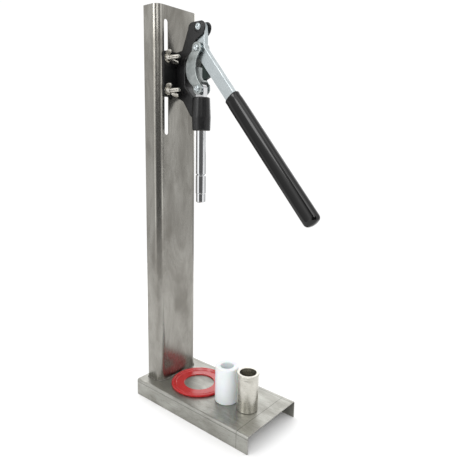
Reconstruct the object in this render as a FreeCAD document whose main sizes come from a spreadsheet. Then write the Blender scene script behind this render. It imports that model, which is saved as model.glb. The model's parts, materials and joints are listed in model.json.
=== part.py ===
"""Lever capping and corking machine on a channel stand: one parametric document."""
import FreeCAD, Part
import math
import os
import Sketcher
from FreeCAD import Vector

# Driving sizes in millimetres and degrees. Heights are above the floor, fore-and-aft
# places are measured from the plunger's axis, and +Y points to the back of the machine.
SIZES = {
    "base_width": 125.0,
    "base_height": 29.0,
    "base_sheet": 1.5,
    "base_bend": 3.5,
    "edge_break": 1.0,
    "base_front": 155.0,
    "base_rear": 90.0,
    "column_width": 88.0,
    "column_depth": 31.0,
    "column_top": 642.0,
    "column_sheet": 1.5,
    "column_bend": 12.0,
    "column_face": 50.6,
    "slot_pitch": 52.0,
    "slot_width": 8.0,
    "slot_bottom": 450.0,
    "slot_top": 622.0,
    "weld_size": 2.4,
    "weld_slope": 0.8,
    "pad_radius": 47.5,
    "pad_hole": 26.0,
    "pad_floor": 2.0,
    "pad_rim": 4.0,
    "pad_groove": 0.6,
    "plate_width": 68.0,
    "plate_height": 68.0,
    "plate_sheet": 3.0,
    "plate_round": 3.0,
    "bolt_radius": 3.0,
    "bolt_low": 517.5,
    "bolt_gap": 48.5,
    "bolt_reach": 29.0,
    "bolt_head": 6.0,
    "bolt_head_thick": 3.0,
    "bolt_tip_break": 0.6,
    "washer_radius": 7.0,
    "washer_thick": 1.2,
    "wing_span": 26.0,
    "wing_height": 15.0,
    "wing_thick": 2.4,
    "wing_hub": 5.2,
    "wing_hub_length": 6.0,
    "wing_turn": 45.0,
    "wing_root": 0.8,
    "wing_tip_drop": 2.4,
    "pivot_height": 608.0,
    "pivot_pin": 3.5,
    "pivot_head": 5.2,
    "head_thick": 2.4,
    "boss_front": 12.5,
    "boss_ring": 7.2,
    "boss_ring_thick": 0.8,
    "frame_half": 7.9,
    "frame_crown": 8.5,
    "slot_half": 5.0,
    "throat_rear": 13.0,
    "spine_front": 28.0,
    "crown_front": 5.0,
    "crown_rear": 13.0,
    "crown_back": 22.5,
    "crown_arc": 9.5,
    "throat_lip": 3.0,
    "throat_arc": 14.0,
    "throat_step": 6.5,
    "throat_drop": 18.0,
    "shoulder_rear": 35.0,
    "spine_run_in": 12.0,
    "spine_run_out": 16.0,
    "gusset_front": 9.0,
    "gusset_drop": 34.0,
    "gusset_rear": 33.0,
    "gusset_middle": 17.0,
    "fork_overrun": 20.0,
    "guide_top": 507.5,
    "guide_bottom": 457.0,
    "guide_top_radius": 13.2,
    "guide_mid_radius": 14.8,
    "guide_end_radius": 14.0,
    "bush_wall": 2.0,
    "bush_recess": 4.5,
    "crank_throw": 29.5,
    "crank_lean": 4.8,
    "link_length": 59.15,
    "link_sheet": 2.0,
    "link_half": 10.3,
    "link_eye": 8.6,
    "link_back": 9.5,
    "link_belly": 29.7,
    "link_hollow": 33.9,
    "link_hollow_end": 5.0,
    "link_hole": 3.6,
    "link_joggle": 0.8,
    "web_low": 10.0,
    "web_high": 32.0,
    "rivet_head": 5.0,
    "lever_half": 4.5,
    "lever_sheet": 1.5,
    "lever_bend": 1.4,
    "lever_depth": 18.5,
    "lever_angle": 49.0,
    "lever_front": 9.0,
    "lever_crown": 7.5,
    "wedge_front": 3.5,
    "wedge_toe": 7.0,
    "wedge_top": 8.0,
    "wedge_bottom": 43.0,
    "wedge_heel": 46.0,
    "grip_start": 96.0,
    "grip_length": 225.0,
    "grip_depth": 26.0,
    "grip_width": 17.0,
    "grip_round": 7.0,
    "grip_cap": 8.0,
    "rod_radius": 8.2,
    "rod_groove": 389.0,
    "rod_groove_depth": 1.6,
    "rod_tip": 345.0,
    "rod_seat": 11.5,
    "rod_break": 0.8,
    "tip_length": 14.0,
    "tip_radius": 7.6,
    "tip_break": 1.2,
    "tongue_half": 4.4,
    "tongue_depth": 16.0,
    "spacer_radius": 6.0,
    "pin_play": 0.2,
    "running_fit": 0.05,
    "bolt_play": 0.3,
    "nylon_radius": 19.0,
    "nylon_bore": 10.5,
    "nylon_height": 60.0,
    "nylon_side": -8.0,
    "nylon_front": 69.0,
    "steel_radius": 16.8,
    "steel_rim_radius": 17.8,
    "steel_rim_height": 2.4,
    "steel_ring_height": 7.0,
    "steel_ring_width": 0.8,
    "steel_height": 62.0,
    "steel_mouth": 13.2,
    "steel_throat": 9.2,
    "steel_side": -6.0,
    "steel_front": 110.0,
}

# How far a cut runs on past the part, and the smallest length that counts as a difference.
OVERRUN = "5"
NEAR = 1e-3

DOC = FreeCAD.newDocument("capping_machine")
PARTS = []


def fill_sheet(sizes):
    """Write each driving size into its own aliased cell."""
    sheet = DOC.addObject("Spreadsheet::Sheet", "sizes")
    for row, (name, size) in enumerate(sizes.items(), start=1):
        sheet.set(f"A{row}", name)
        sheet.set(f"B{row}", str(size))
        sheet.setAlias(f"B{row}", name)
    DOC.recompute()
    return sheet


SHEET = fill_sheet(SIZES)


def size(name):
    """Expression for one cell of the sheet."""
    return f"sizes.{name}"


def number(expression):
    """Present value of an expression, in millimetres or degrees."""
    return float(SHEET.evalExpression(str(expression)))


# Derived places, each written once as an expression on the sheet.
ARM_COS = f"cos({size('lever_angle')} * 1 deg)"
ARM_SIN = f"sin({size('lever_angle')} * 1 deg)"
PIVOT_Z = size("pivot_height")
ELBOW_Y = f"({size('crank_throw')} * sin({size('crank_lean')} * 1 deg))"
ELBOW_Z = f"({PIVOT_Z} - {size('crank_throw')} * cos({size('crank_lean')} * 1 deg))"
TONGUE_Z = f"({ELBOW_Z} - sqrt({size('link_length')}^2 - {ELBOW_Y}^2))"
GRIP_END = f"({size('grip_start')} + {size('grip_length')})"
LEVER_REACH = (
    f"(({GRIP_END} - {size('grip_cap')}) * {ARM_COS}"
    f" + ({size('grip_depth')} / 2 - {size('grip_cap')}) * {ARM_SIN}"
    f" + {size('grip_cap')} - {ELBOW_Y})"
)
AXIS_Y = f"(({LEVER_REACH} - {size('base_rear')}) / 2)"
PLATE_FRONT = f"({size('column_face')} - {size('plate_sheet')})"
PLATE_MIDDLE = f"({size('bolt_low')} + {size('bolt_gap')} / 2)"
PLATE_LOW = f"({PLATE_MIDDLE} - {size('plate_height')} / 2)"
PLATE_HIGH = f"({PLATE_MIDDLE} + {size('plate_height')} / 2)"
CROWN_Z = f"({PIVOT_Z} + {size('frame_crown')})"
ROD_TOP = f"({TONGUE_Z} - {size('rod_seat')})"
TIP_TOP = f"({size('rod_tip')} + {size('tip_length')})"
BUSH_RADIUS = f"({size('rod_radius')} + {size('bush_wall')})"
LINK_INNER = f"({size('link_half')} - {size('link_sheet')})"
SPACER_END = f"({LINK_INNER} - {size('pin_play')})"


def arm_point(along, across):
    """Side-view place of a point on the arm, along it and towards its upper side."""
    place_y = f"({ELBOW_Y} - ({along}) * {ARM_COS} - ({across}) * {ARM_SIN})"
    place_z = f"({ELBOW_Z} - ({along}) * {ARM_SIN} + ({across}) * {ARM_COS})"
    return place_y, place_z


LINK_COS = f"(({ELBOW_Z} - {TONGUE_Z}) / {size('link_length')})"
LINK_SIN = f"({ELBOW_Y} / {size('link_length')})"


def link_point(back, along):
    """Side-view place of a point on the link, behind its centre line and up along it."""
    place_y = f"(({back}) * {LINK_COS} + ({along}) * {LINK_SIN})"
    place_z = f"({TONGUE_Z} + ({along}) * {LINK_COS} - ({back}) * {LINK_SIN})"
    return place_y, place_z


def new_body(name):
    """A body whose frame stands on the plunger's axis."""
    body = DOC.addObject("PartDesign::Body", name)
    body.Label = name
    body.setExpression("Placement.Base.y", AXIS_Y)
    PARTS.append(body)
    return body


def new_sketch(body, plane, offset="0"):
    """A sketch on one of the body's own planes, moved along the plane's normal."""
    sketch = body.newObject("Sketcher::SketchObject", f"{body.Name}_outline")
    origin = next(item for item in body.Origin.OriginFeatures if item.Role == plane)
    sketch.AttachmentSupport = [(origin, "")]
    sketch.MapMode = "FlatFace"
    sketch.setExpression("AttachmentOffset.Base.z", offset)
    return sketch


def bind(sketch, constraint, expression):
    """Add a constraint whose value follows the sheet."""
    index = sketch.addConstraint(constraint)
    sketch.setExpression(f"Constraints[{index}]", expression)


def pin_point(sketch, geometry, end, place):
    """Hold one point of the sketch at a place given by two expressions."""
    for kind, expression in zip(("DistanceX", "DistanceY"), place):
        distance = Sketcher.Constraint(kind, -1, 1, geometry, end, number(expression))
        bind(sketch, distance, expression)


def draw_circle(sketch, place, radius):
    """Draw a circle round a place."""
    centre = Vector(number(place[0]), number(place[1]), 0)
    circle = sketch.addGeometry(Part.Circle(centre, Vector(0, 0, 1), number(radius)))
    pin_point(sketch, circle, 3, place)
    bind(sketch, Sketcher.Constraint("Radius", circle, number(radius)), radius)


def arc_between(start, end, radius):
    """Arc from start to end that bulges left of the way for a positive radius."""
    chord = end - start
    half = chord.Length / 2
    sagitta = abs(radius) - math.sqrt(max(radius * radius - half * half, 0.0))
    left = Vector(-chord.y, chord.x, 0).normalize()
    middle = (start + end) * 0.5 + left * math.copysign(sagitta, radius)
    return Part.Arc(start, middle, end)


def hold_arc(sketch, edge, start, end):
    """Bind an arc's radius, or the centre of a half circle on its chord."""
    radius = f"abs({end[2]})"
    chord_y = number(end[0]) - number(start[0])
    chord_z = number(end[1]) - number(start[1])
    if math.hypot(chord_y, chord_z) / 2 < number(radius) - NEAR / 10:
        bind(sketch, Sketcher.Constraint("Radius", edge, number(radius)), radius)
    elif abs(chord_y) > abs(chord_z):
        middle = f"(({start[1]}) + ({end[1]})) / 2"
        bind(sketch, Sketcher.Constraint("DistanceY", -1, 1, edge, 3, number(middle)), middle)
    else:
        middle = f"(({start[0]}) + ({end[0]})) / 2"
        bind(sketch, Sketcher.Constraint("DistanceX", -1, 1, edge, 3, number(middle)), middle)


def draw_outline(sketch, path):
    """Draw a closed outline of lines and arcs, with every corner and radius bound.

    Each corner is (x, y), or (x, y, radius) where an arc leads to it from the
    corner before; the arc bulges left of the way when the radius is positive.
    """
    corners = [Vector(number(corner[0]), number(corner[1]), 0) for corner in path]
    ends = []
    for index, corner in enumerate(path):
        start, end = corners[index - 1], corners[index]
        if len(corner) == 3:
            edge = sketch.addGeometry(arc_between(start, end, number(corner[2])))
        else:
            edge = sketch.addGeometry(Part.LineSegment(start, end))
        forward = (sketch.getPoint(edge, 1) - start).Length < NEAR
        ends.append((edge, 1, 2) if forward else (edge, 2, 1))
    for index, corner in enumerate(path):
        edge, _, last = ends[index]
        following, first, _ = ends[(index + 1) % len(path)]
        sketch.addConstraint(Sketcher.Constraint("Coincident", edge, last, following, first))
        pin_point(sketch, edge, last, corner[:2])
        if len(corner) == 3:
            hold_arc(sketch, edge, path[index - 1], corner)


def extrude(body, kind, sketch, length, **settings):
    """Pad or pocket a sketch by a bound length, evenly to both sides unless told."""
    feature = body.newObject(f"PartDesign::{kind}", f"{body.Name}_{kind.lower()}")
    feature.Profile = sketch
    feature.Midplane = settings.get("both_sides", True)
    feature.Reversed = settings.get("reverse", False)
    feature.setExpression("Length", length)
    DOC.recompute()
    return feature


def turn(body, kind, sketch):
    """Revolve or groove a sketch once round its own vertical axis."""
    feature = body.newObject(f"PartDesign::{kind}", f"{body.Name}_{kind.lower()}")
    feature.Profile = sketch
    feature.ReferenceAxis = (sketch, ["V_Axis"])
    feature.Angle = 360.0
    DOC.recompute()
    return feature


def turned_profile(body, kind, path):
    """Turn a (radius, height) outline round the body's vertical axis."""
    sketch = new_sketch(body, "XZ_Plane")
    draw_outline(sketch, path)
    return turn(body, kind, sketch)


def side_profile(body, kind, path, width):
    """Pad or pocket a side-view outline evenly about the middle of the machine."""
    sketch = new_sketch(body, "YZ_Plane")
    draw_outline(sketch, path)
    return extrude(body, kind, sketch, width)


def side_circle(body, kind, place, radius, width):
    """Pad or pocket a side-view circle evenly about the middle of the machine."""
    sketch = new_sketch(body, "YZ_Plane")
    draw_circle(sketch, place, radius)
    return extrude(body, kind, sketch, width)


def soften(body, kind, wanted, distance):
    """Fillet or chamfer the edges of the body's last feature that a test picks."""
    base = body.Tip
    names = [
        f"Edge{index}"
        for index, edge in enumerate(base.Shape.Edges, start=1)
        if wanted(edge)
    ]
    feature = body.newObject(f"PartDesign::{kind}", f"{body.Name}_{kind.lower()}")
    feature.Base = (base, names)
    feature.setExpression("Radius" if kind == "Fillet" else "Size", distance)
    DOC.recompute()
    return feature


def runs_along(edge, direction):
    """Whether a straight edge runs along a direction."""
    if not isinstance(edge.Curve, Part.Line):
        return False
    return abs(edge.tangentAt(edge.FirstParameter).dot(direction)) > 0.999


def on_sides(half):
    """Test for edges that lie flat in either side plane of a part this wide."""
    outer = number(half)

    def lies_there(edge):
        """Whether the whole edge is in one of the two planes."""
        return edge.BoundBox.XLength < NEAR and abs(abs(edge.CenterOfMass.x) - outer) < NEAR

    return lies_there


def mirrored_pair(body, feature):
    """Repeat a feature on the other side of the machine's middle plane."""
    mirror = body.newObject("PartDesign::Mirrored", f"{body.Name}_mirrored")
    mirror.Originals = [feature]
    middle = next(item for item in body.Origin.OriginFeatures if item.Role == "YZ_Plane")
    mirror.MirrorPlane = (middle, [""])
    body.Tip = mirror
    DOC.recompute()
    return mirror


def channel_path(half, floor, outer, sheet, bend, open_down):
    """Outline of a folded channel: two legs from the floor line and a web at outer."""
    sign = "1" if open_down else "-1"
    inner_bend = f"({bend} - {sheet})"
    return [
        (f"-{half}", floor),
        (f"-{half}", f"{outer} - {sign} * {bend}"),
        (f"-{half} + {bend}", outer, f"{sign} * {bend}"),
        (f"{half} - {bend}", outer),
        (half, f"{outer} - {sign} * {bend}", f"{sign} * {bend}"),
        (half, floor),
        (f"{half} - {sheet}", floor),
        (f"{half} - {sheet}", f"{outer} - {sign} * {bend}"),
        (f"{half} - {bend}", f"{outer} - {sign} * {sheet}", f"-{sign} * {inner_bend}"),
        (f"-{half} + {bend}", f"{outer} - {sign} * {sheet}"),
        (f"-{half} + {sheet}", f"{outer} - {sign} * {bend}", f"-{sign} * {inner_bend}"),
        (f"-{half} + {sheet}", floor),
    ]


def make_base_channel():
    """Folded sheet base, open below and at both ends."""
    body = new_body("base_channel")
    sketch = new_sketch(body, "XZ_Plane", f"-{size('base_rear')}")
    half = f"{size('base_width')} / 2"
    path = channel_path(half, "0", size("base_height"), size("base_sheet"), size("base_bend"), True)
    draw_outline(sketch, path)
    length = f"{size('base_front')} + {size('base_rear')}"
    extrude(body, "Pad", sketch, length, both_sides=False)


def make_column_channel():
    """Folded upright, open at the back, with two clamping slots."""
    body = new_body("column_channel")
    sketch = new_sketch(body, "XY_Plane", size("base_height"))
    half = f"{size('column_width')} / 2"
    rear = f"{size('column_face')} + {size('column_depth')}"
    path = channel_path(half, rear, size("column_face"), size("column_sheet"), size("column_bend"), False)
    draw_outline(sketch, path)
    height = f"{size('column_top')} - {size('base_height')}"
    extrude(body, "Pad", sketch, height, both_sides=False)
    sketch = new_sketch(body, "XZ_Plane")
    radius = f"({size('slot_width')} / 2)"
    low = f"{size('slot_bottom')} + {radius}"
    high = f"{size('slot_top')} - {radius}"
    centre = f"{size('slot_pitch')} / 2"
    draw_outline(sketch, [
        (f"{centre} - {radius}", high),
        (f"{centre} + {radius}", high, radius),
        (f"{centre} + {radius}", low),
        (f"{centre} - {radius}", low, radius),
    ])
    depth = f"{size('column_face')} + {size('column_depth')}"
    slot = extrude(body, "Pocket", sketch, depth, both_sides=False)
    mirrored_pair(body, slot)


def make_column_weld():
    """Fillet weld run round the foot of the upright, front and both sides."""
    body = new_body("column_weld")
    sketch = new_sketch(body, "XY_Plane", size("base_height"))
    half = f"({size('column_width')} / 2)"
    face = size("column_face")
    rear = f"({size('column_face')} + {size('column_depth')})"
    bend = size("column_bend")
    weld = size("weld_size")
    draw_outline(sketch, [
        (f"-{half} - {weld}", rear),
        (f"-{half} - {weld}", f"{face} + {bend}"),
        (f"-{half} + {bend}", f"{face} - {weld}", f"-({bend} + {weld})"),
        (f"{half} - {bend}", f"{face} - {weld}"),
        (f"{half} + {weld}", f"{face} + {bend}", f"-({bend} + {weld})"),
        (f"{half} + {weld}", rear),
        (half, rear),
        (half, f"{face} + {bend}"),
        (f"{half} - {bend}", face, bend),
        (f"-{half} + {bend}", face),
        (f"-{half}", f"{face} + {bend}", bend),
        (f"-{half}", rear),
    ])
    extrude(body, "Pad", sketch, weld, both_sides=False)
    top = number(f"{size('base_height')} + {weld}")
    outer = number(f"{half} + {weld}")
    front = number(f"{face} - {weld}")

    def outer_top(edge):
        """Whether an edge is the bead's outer upper rim."""
        middle = edge.CenterOfMass
        level = abs(edge.BoundBox.ZMin - top) < NEAR and abs(edge.BoundBox.ZMax - top) < NEAR
        at_side = abs(edge.BoundBox.XLength) < NEAR and abs(abs(middle.x) - outer) < NEAR
        at_front = abs(edge.BoundBox.YLength) < NEAR and abs(middle.y - front) < NEAR
        at_corner = abs(edge.Length - math.pi / 2 * number(f"{bend} + {weld}")) < NEAR
        return level and (at_side or at_front or at_corner)

    soften(body, "Chamfer", outer_top, f"{size('weld_slope')} * {weld}")


def make_bottle_pad():
    """Round pad that centres the bottle, with a raised double rim."""
    body = new_body("bottle_pad")
    floor = size("base_height")
    low = f"({floor} + {size('pad_floor')})"
    rim = f"({floor} + {size('pad_rim')})"
    outer, unit, step = size("pad_radius"), size("edge_break"), size("pad_groove")
    turned_profile(body, "Revolution", [
        (size("pad_hole"), floor),
        (f"{outer} - {unit}", floor),
        (outer, f"{floor} + {unit}", unit),
        (outer, f"{rim} - {unit}"),
        (f"{outer} - {unit}", rim, unit),
        (f"{outer} - 3 * {unit}", rim),
        (f"{outer} - 4 * {unit}", f"{low} + {step}"),
        (f"{outer} - 5 * {unit}", f"{low} + {step}"),
        (f"{outer} - 6 * {unit}", f"{rim} - {step}"),
        (f"{outer} - 7.5 * {unit}", f"{rim} - {step}"),
        (f"{outer} - 8.5 * {unit}", low),
        (size("pad_hole"), low),
    ])


def bolt_places():
    """Side and height expressions of the four clamping bolts, by name."""
    side = f"{size('slot_pitch')} / 2"
    low = size("bolt_low")
    high = f"({low} + {size('bolt_gap')})"
    return {
        "upper_left": (f"-{side}", high),
        "upper_right": (side, high),
        "lower_left": (f"-{side}", low),
        "lower_right": (side, low),
    }


def make_mount_plate():
    """Plate that carries the head and clamps to the upright."""
    body = new_body("mount_plate")
    sketch = new_sketch(body, "XZ_Plane", f"-{size('column_face')}")
    half = f"{size('plate_width')} / 2"
    draw_outline(sketch, [
        (f"-{half}", PLATE_LOW),
        (f"-{half}", PLATE_HIGH),
        (half, PLATE_HIGH),
        (half, PLATE_LOW),
    ])
    extrude(body, "Pad", sketch, size("plate_sheet"), both_sides=False)
    soften(body, "Fillet", lambda edge: runs_along(edge, Vector(0, 1, 0)), size("plate_round"))
    sketch = new_sketch(body, "XZ_Plane")
    for place in bolt_places().values():
        draw_circle(sketch, place, f"{size('bolt_radius')} + {size('bolt_play')}")
    extrude(body, "Pocket", sketch, size("column_face"), both_sides=False)


def make_head_frame():
    """Cast head: clevis at the top, spine against the plate and guide barrel below."""
    body = new_body("head_frame")
    front, spine, unit = size("boss_front"), size("spine_front"), size("edge_break")
    top, bottom = size("guide_top"), size("guide_bottom")
    barrel, end = size("guide_top_radius"), size("guide_end_radius")
    side_profile(body, "Pad", [
        (f"-{size('crown_front')}", CROWN_Z),
        (f"-{front}", f"{PIVOT_Z} - {unit}", f"-{size('crown_arc')}"),
        (f"-{size('throat_lip')}", f"{PIVOT_Z} - {front} - {unit} / 2", f"-{size('throat_arc')}"),
        (size("throat_step"), f"{PIVOT_Z} - {size('throat_drop')}"),
        (f"{size('throat_rear')} + {unit} / 2", f"{PLATE_HIGH} - 2 * {unit}"),
        (spine, f"{PLATE_HIGH} - {size('spine_run_in')}"),
        (spine, f"{PLATE_LOW} + {size('spine_run_out')}"),
        (f"{barrel} - {unit}", f"{top} + {unit}"),
        (size("gusset_front"), f"{top} - 3 * {unit}"),
        (size("gusset_front"), f"{top} - {size('gusset_drop')}"),
        (size("gusset_middle"), f"{top} - {size('gusset_drop')} + 6 * {unit}"),
        (size("gusset_rear"), f"{PLATE_LOW} - 6 * {unit}"),
        (PLATE_FRONT, PLATE_LOW),
        (PLATE_FRONT, PLATE_HIGH),
        (size("shoulder_rear"), f"{PLATE_HIGH} + 2 * {unit}"),
        (size("crown_back"), f"{PIVOT_Z} - {unit}"),
        (size("crown_rear"), CROWN_Z, f"-{size('crown_arc')}"),
    ], f"2 * {size('frame_half')}")
    turned_profile(body, "Revolution", [
        ("0", bottom),
        (f"{end} - {unit}", bottom),
        (end, f"{bottom} + {unit}", unit),
        (size("guide_mid_radius"), f"{bottom} + 20 * {unit}"),
        (barrel, f"{top} - {unit}"),
        (f"{barrel} - {unit}", top, unit),
        ("0", top),
    ])
    ring = f"2 * ({size('frame_half')} + {size('boss_ring_thick')})"
    side_circle(body, "Pad", ("0", PIVOT_Z), size("boss_ring"), ring)
    ahead, foot = f"-{size('fork_overrun')}", f"({PLATE_HIGH} - 2 * {size('fork_overrun')})"
    side_profile(body, "Pocket", [
        (ahead, foot),
        (size("throat_rear"), foot),
        (size("throat_rear"), f"{CROWN_Z} + {OVERRUN}"),
        (ahead, f"{CROWN_Z} + {OVERRUN}"),
    ], f"2 * {size('slot_half')}")
    side_circle(body, "Pocket", ("0", PIVOT_Z), size("pivot_pin"), f"2 * {ring}")
    turned_profile(body, "Groove", [
        ("0", f"{bottom} - {OVERRUN}"),
        (BUSH_RADIUS, f"{bottom} - {OVERRUN}"),
        (BUSH_RADIUS, f"{top} + {OVERRUN}"),
        ("0", f"{top} + {OVERRUN}"),
    ])


def ring_path(inner, outer, low, high):
    """Outline of a plain ring's section."""
    return [(inner, low), (outer, low), (outer, high), (inner, high)]


def make_guide_bush():
    """Bronze bush in the barrel, set below its mouth where the tongue's foot comes down."""
    body = new_body("guide_bush")
    bore = f"{size('rod_radius')} + {size('running_fit')}"
    mouth = f"{size('guide_top')} - {size('bush_recess')}"
    path = ring_path(bore, BUSH_RADIUS, size("guide_bottom"), mouth)
    turned_profile(body, "Revolution", path)


def make_frame_pivot_pin():
    """Headed pin that the lever turns on."""
    body = new_body("frame_pivot_pin")
    ring_end = f"({size('frame_half')} + {size('boss_ring_thick')})"
    headed_pin(body, ("0", PIVOT_Z), size("pivot_pin"), ring_end, size("pivot_head"))


def headed_pin(body, place, radius, grip, head):
    """Pin across the machine with a round head beyond each end of its grip."""
    side_circle(body, "Pad", place, radius, f"2 * {grip} + {size('head_thick')}")
    outer = f"{grip} + {size('head_thick')}"
    for side in ("", "-"):
        sketch = new_sketch(body, "YZ_Plane", f"{side}({outer})")
        draw_circle(sketch, place, head)
        extrude(body, "Pad", sketch, size("head_thick"), both_sides=False, reverse=side == "")


def make_clamp_bolts():
    """Four carriage bolts, each its own solid, through the slots and the plate."""
    solids = []
    reach = number(f"{size('column_face')} - {size('bolt_reach')}")
    seat = number(f"{size('column_face')} + {size('column_sheet')}")
    radius, head = number(size("bolt_radius")), number(size("bolt_head"))
    thick = number(size("bolt_head_thick"))
    for side, height in bolt_places().values():
        start = Vector(number(side), reach, number(height))
        shank = Part.makeCylinder(radius, seat - reach + thick / 2, start, Vector(0, 1, 0))
        under = Vector(number(side), seat, number(height))
        disc = Part.makeCylinder(head, thick, under, Vector(0, 1, 0))
        rim = [edge for edge in disc.Edges if abs(edge.BoundBox.YMin - seat - thick) < NEAR]
        disc = disc.makeFillet(thick * 0.6, rim)
        tip = [edge for edge in shank.Edges if abs(edge.BoundBox.YMax - reach) < NEAR]
        shank = shank.makeChamfer(number(size("bolt_tip_break")), tip)
        solids.append(shank.fuse(disc).removeSplitter())
    add_feature("clamp_bolts", solids)


def make_clamp_washers():
    """Four washers between the wing nuts and the plate."""
    solids = []
    face = number(PLATE_FRONT)
    thick = number(size("washer_thick"))
    hole = number(f"{size('bolt_radius')} + {size('bolt_play')}")
    for side, height in bolt_places().values():
        start = Vector(number(side), face - thick, number(height))
        disc = Part.makeCylinder(number(size("washer_radius")), thick, start, Vector(0, 1, 0))
        core = Part.makeCylinder(hole, thick, start, Vector(0, 1, 0))
        solids.append(disc.cut(core))
    add_feature("clamp_washers", solids)


def add_feature(name, solids):
    """Keep solids made with Part's own functions as one named part."""
    feature = DOC.addObject("Part::Feature", name)
    feature.Label = name
    feature.Shape = Part.makeCompound(solids)
    feature.setExpression("Placement.Base.y", AXIS_Y)
    PARTS.append(feature)


def make_wing_nut(name, side, height):
    """One wing nut: a tapered hub with two flat wings swept forward."""
    seat = number(f"{PLATE_FRONT} - {size('washer_thick')}")
    hub_length, hub = number(size("wing_hub_length")), number(size("wing_hub"))
    thick, tall = number(size("wing_thick")), number(size("wing_height"))
    half_span = number(f"{size('wing_span')} / 2")
    ahead = Vector(0, -1, 0)
    drop, root = number(size("wing_tip_drop")), number(size("wing_root"))
    cone = Part.makeCone(hub, hub * 0.82, hub_length, Vector(0, 0, 0), ahead)
    outline = [
        (hub * 0.55, -root),
        (hub * 0.55, root - hub_length),
        (half_span * 0.62, drop / 2 - tall),
        (half_span * 0.8, -tall),
        (half_span, drop - tall),
        (half_span * 0.94, root - hub_length),
    ]
    corners = [Vector(across, along, -thick / 2) for across, along in outline]
    wire = Part.Wire([
        Part.LineSegment(corners[0], corners[1]).toShape(),
        Part.LineSegment(corners[1], corners[2]).toShape(),
        Part.Arc(corners[2], corners[3], corners[4]).toShape(),
        Part.Arc(corners[4], corners[5], corners[0]).toShape(),
    ])
    wing = Part.Face(wire).extrude(Vector(0, 0, thick))
    other = wing.rotated(Vector(0, 0, 0), Vector(0, 1, 0), 180)
    nut = cone.fuse([wing, other])
    bore = number(f"{size('bolt_radius')} + {size('running_fit')}")
    nut = nut.cut(Part.makeCylinder(bore, tall, Vector(0, 0, 0), ahead))
    nut = nut.rotated(Vector(0, 0, 0), Vector(0, 1, 0), number(size("wing_turn")))
    nut = nut.translated(Vector(number(side), seat, number(height)))
    add_feature(f"wing_nut_{name}", [nut])


def make_lever_channel():
    """Folded lever: crank between the pivots, then the arm into the grip."""
    body = new_body("lever_channel")
    half_depth = f"({size('lever_depth')} / 2)"
    sheet = size("lever_sheet")
    front = size("lever_front")
    kink = f"({ELBOW_Y} + {front} - {half_depth} * {ARM_SIN}) / {ARM_COS}"
    end = f"({GRIP_END} - {size('grip_cap')})"
    on_side = on_sides(size("lever_half"))
    arm_up = Vector(0, -number(ARM_SIN), number(ARM_COS))
    elbow = Vector(0, number(ELBOW_Y), number(ELBOW_Z))

    def folded_edge(edge):
        """Whether an edge is one of the two bends beside the web."""
        middle = edge.CenterOfMass
        on_arm = (middle - elbow).dot(arm_up) > number(half_depth) - NEAR
        on_crank = middle.y < NEAR - number(front) and runs_along(edge, Vector(0, 0, 1))
        return on_side(edge) and isinstance(edge.Curve, Part.Line) and (on_arm or on_crank)

    ear = f"({PIVOT_Z} + {size('lever_crown')} - {front})"
    side_profile(body, "Pad", [
        (f"-{front}", ear, f"-{front}"),
        arm_point(kink, half_depth),
        arm_point(end, half_depth),
        arm_point(end, f"-{half_depth}"),
        arm_point(size("edge_break"), f"-{half_depth}"),
        (front, f"{ELBOW_Z} - {size('edge_break')}", f"-{front}"),
        (front, ear),
    ], f"2 * {size('lever_half')}")
    soften(body, "Fillet", folded_edge, size("lever_bend"))
    web = f"({half_depth} - {sheet})"
    inner_kink = f"({ELBOW_Y} + {front} - {sheet} - {web} * {ARM_SIN}) / {ARM_COS}"
    beyond = f"(2 * {size('fork_overrun')})"
    side_profile(body, "Pocket", [
        (f"{sheet} - {front}", f"{PIVOT_Z} + {beyond}"),
        arm_point(inner_kink, web),
        arm_point(f"{end} + {OVERRUN}", web),
        arm_point(f"{end} + {OVERRUN}", f"-{beyond}"),
        (beyond, ELBOW_Z),
        (beyond, f"{PIVOT_Z} + {beyond}"),
    ], f"2 * ({size('lever_half')} - {sheet})")
    hole = f"{size('pivot_pin')} + {size('running_fit')}"
    through = f"4 * {size('lever_half')}"
    side_circle(body, "Pocket", ("0", PIVOT_Z), hole, through)
    side_circle(body, "Pocket", (ELBOW_Y, ELBOW_Z), size("pivot_pin"), through)


def make_lever_stiffener():
    """Dark gusset between the cheeks in the fork under the elbow."""
    body = new_body("lever_stiffener")
    inner = f"2 * ({size('lever_half')} - {size('lever_sheet')})"
    unit, heel = size("edge_break"), size("wedge_heel")
    side_profile(body, "Pad", [
        (f"-{size('wedge_front')}", f"{ELBOW_Z} - {size('wedge_top')}"),
        (f"-{size('wedge_front')}", f"{ELBOW_Z} - {size('wedge_bottom')}"),
        (f"-{size('wedge_toe')}", f"{ELBOW_Z} - {size('wedge_bottom')} - 4 * {unit}"),
        arm_point(heel, f"-({size('lever_depth')} + {unit}) / 2"),
        arm_point(f"2 * {heel} / 3", f"-{unit}"),
        arm_point(f"{heel} / 3", f"-{unit}"),
    ], inner)


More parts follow.
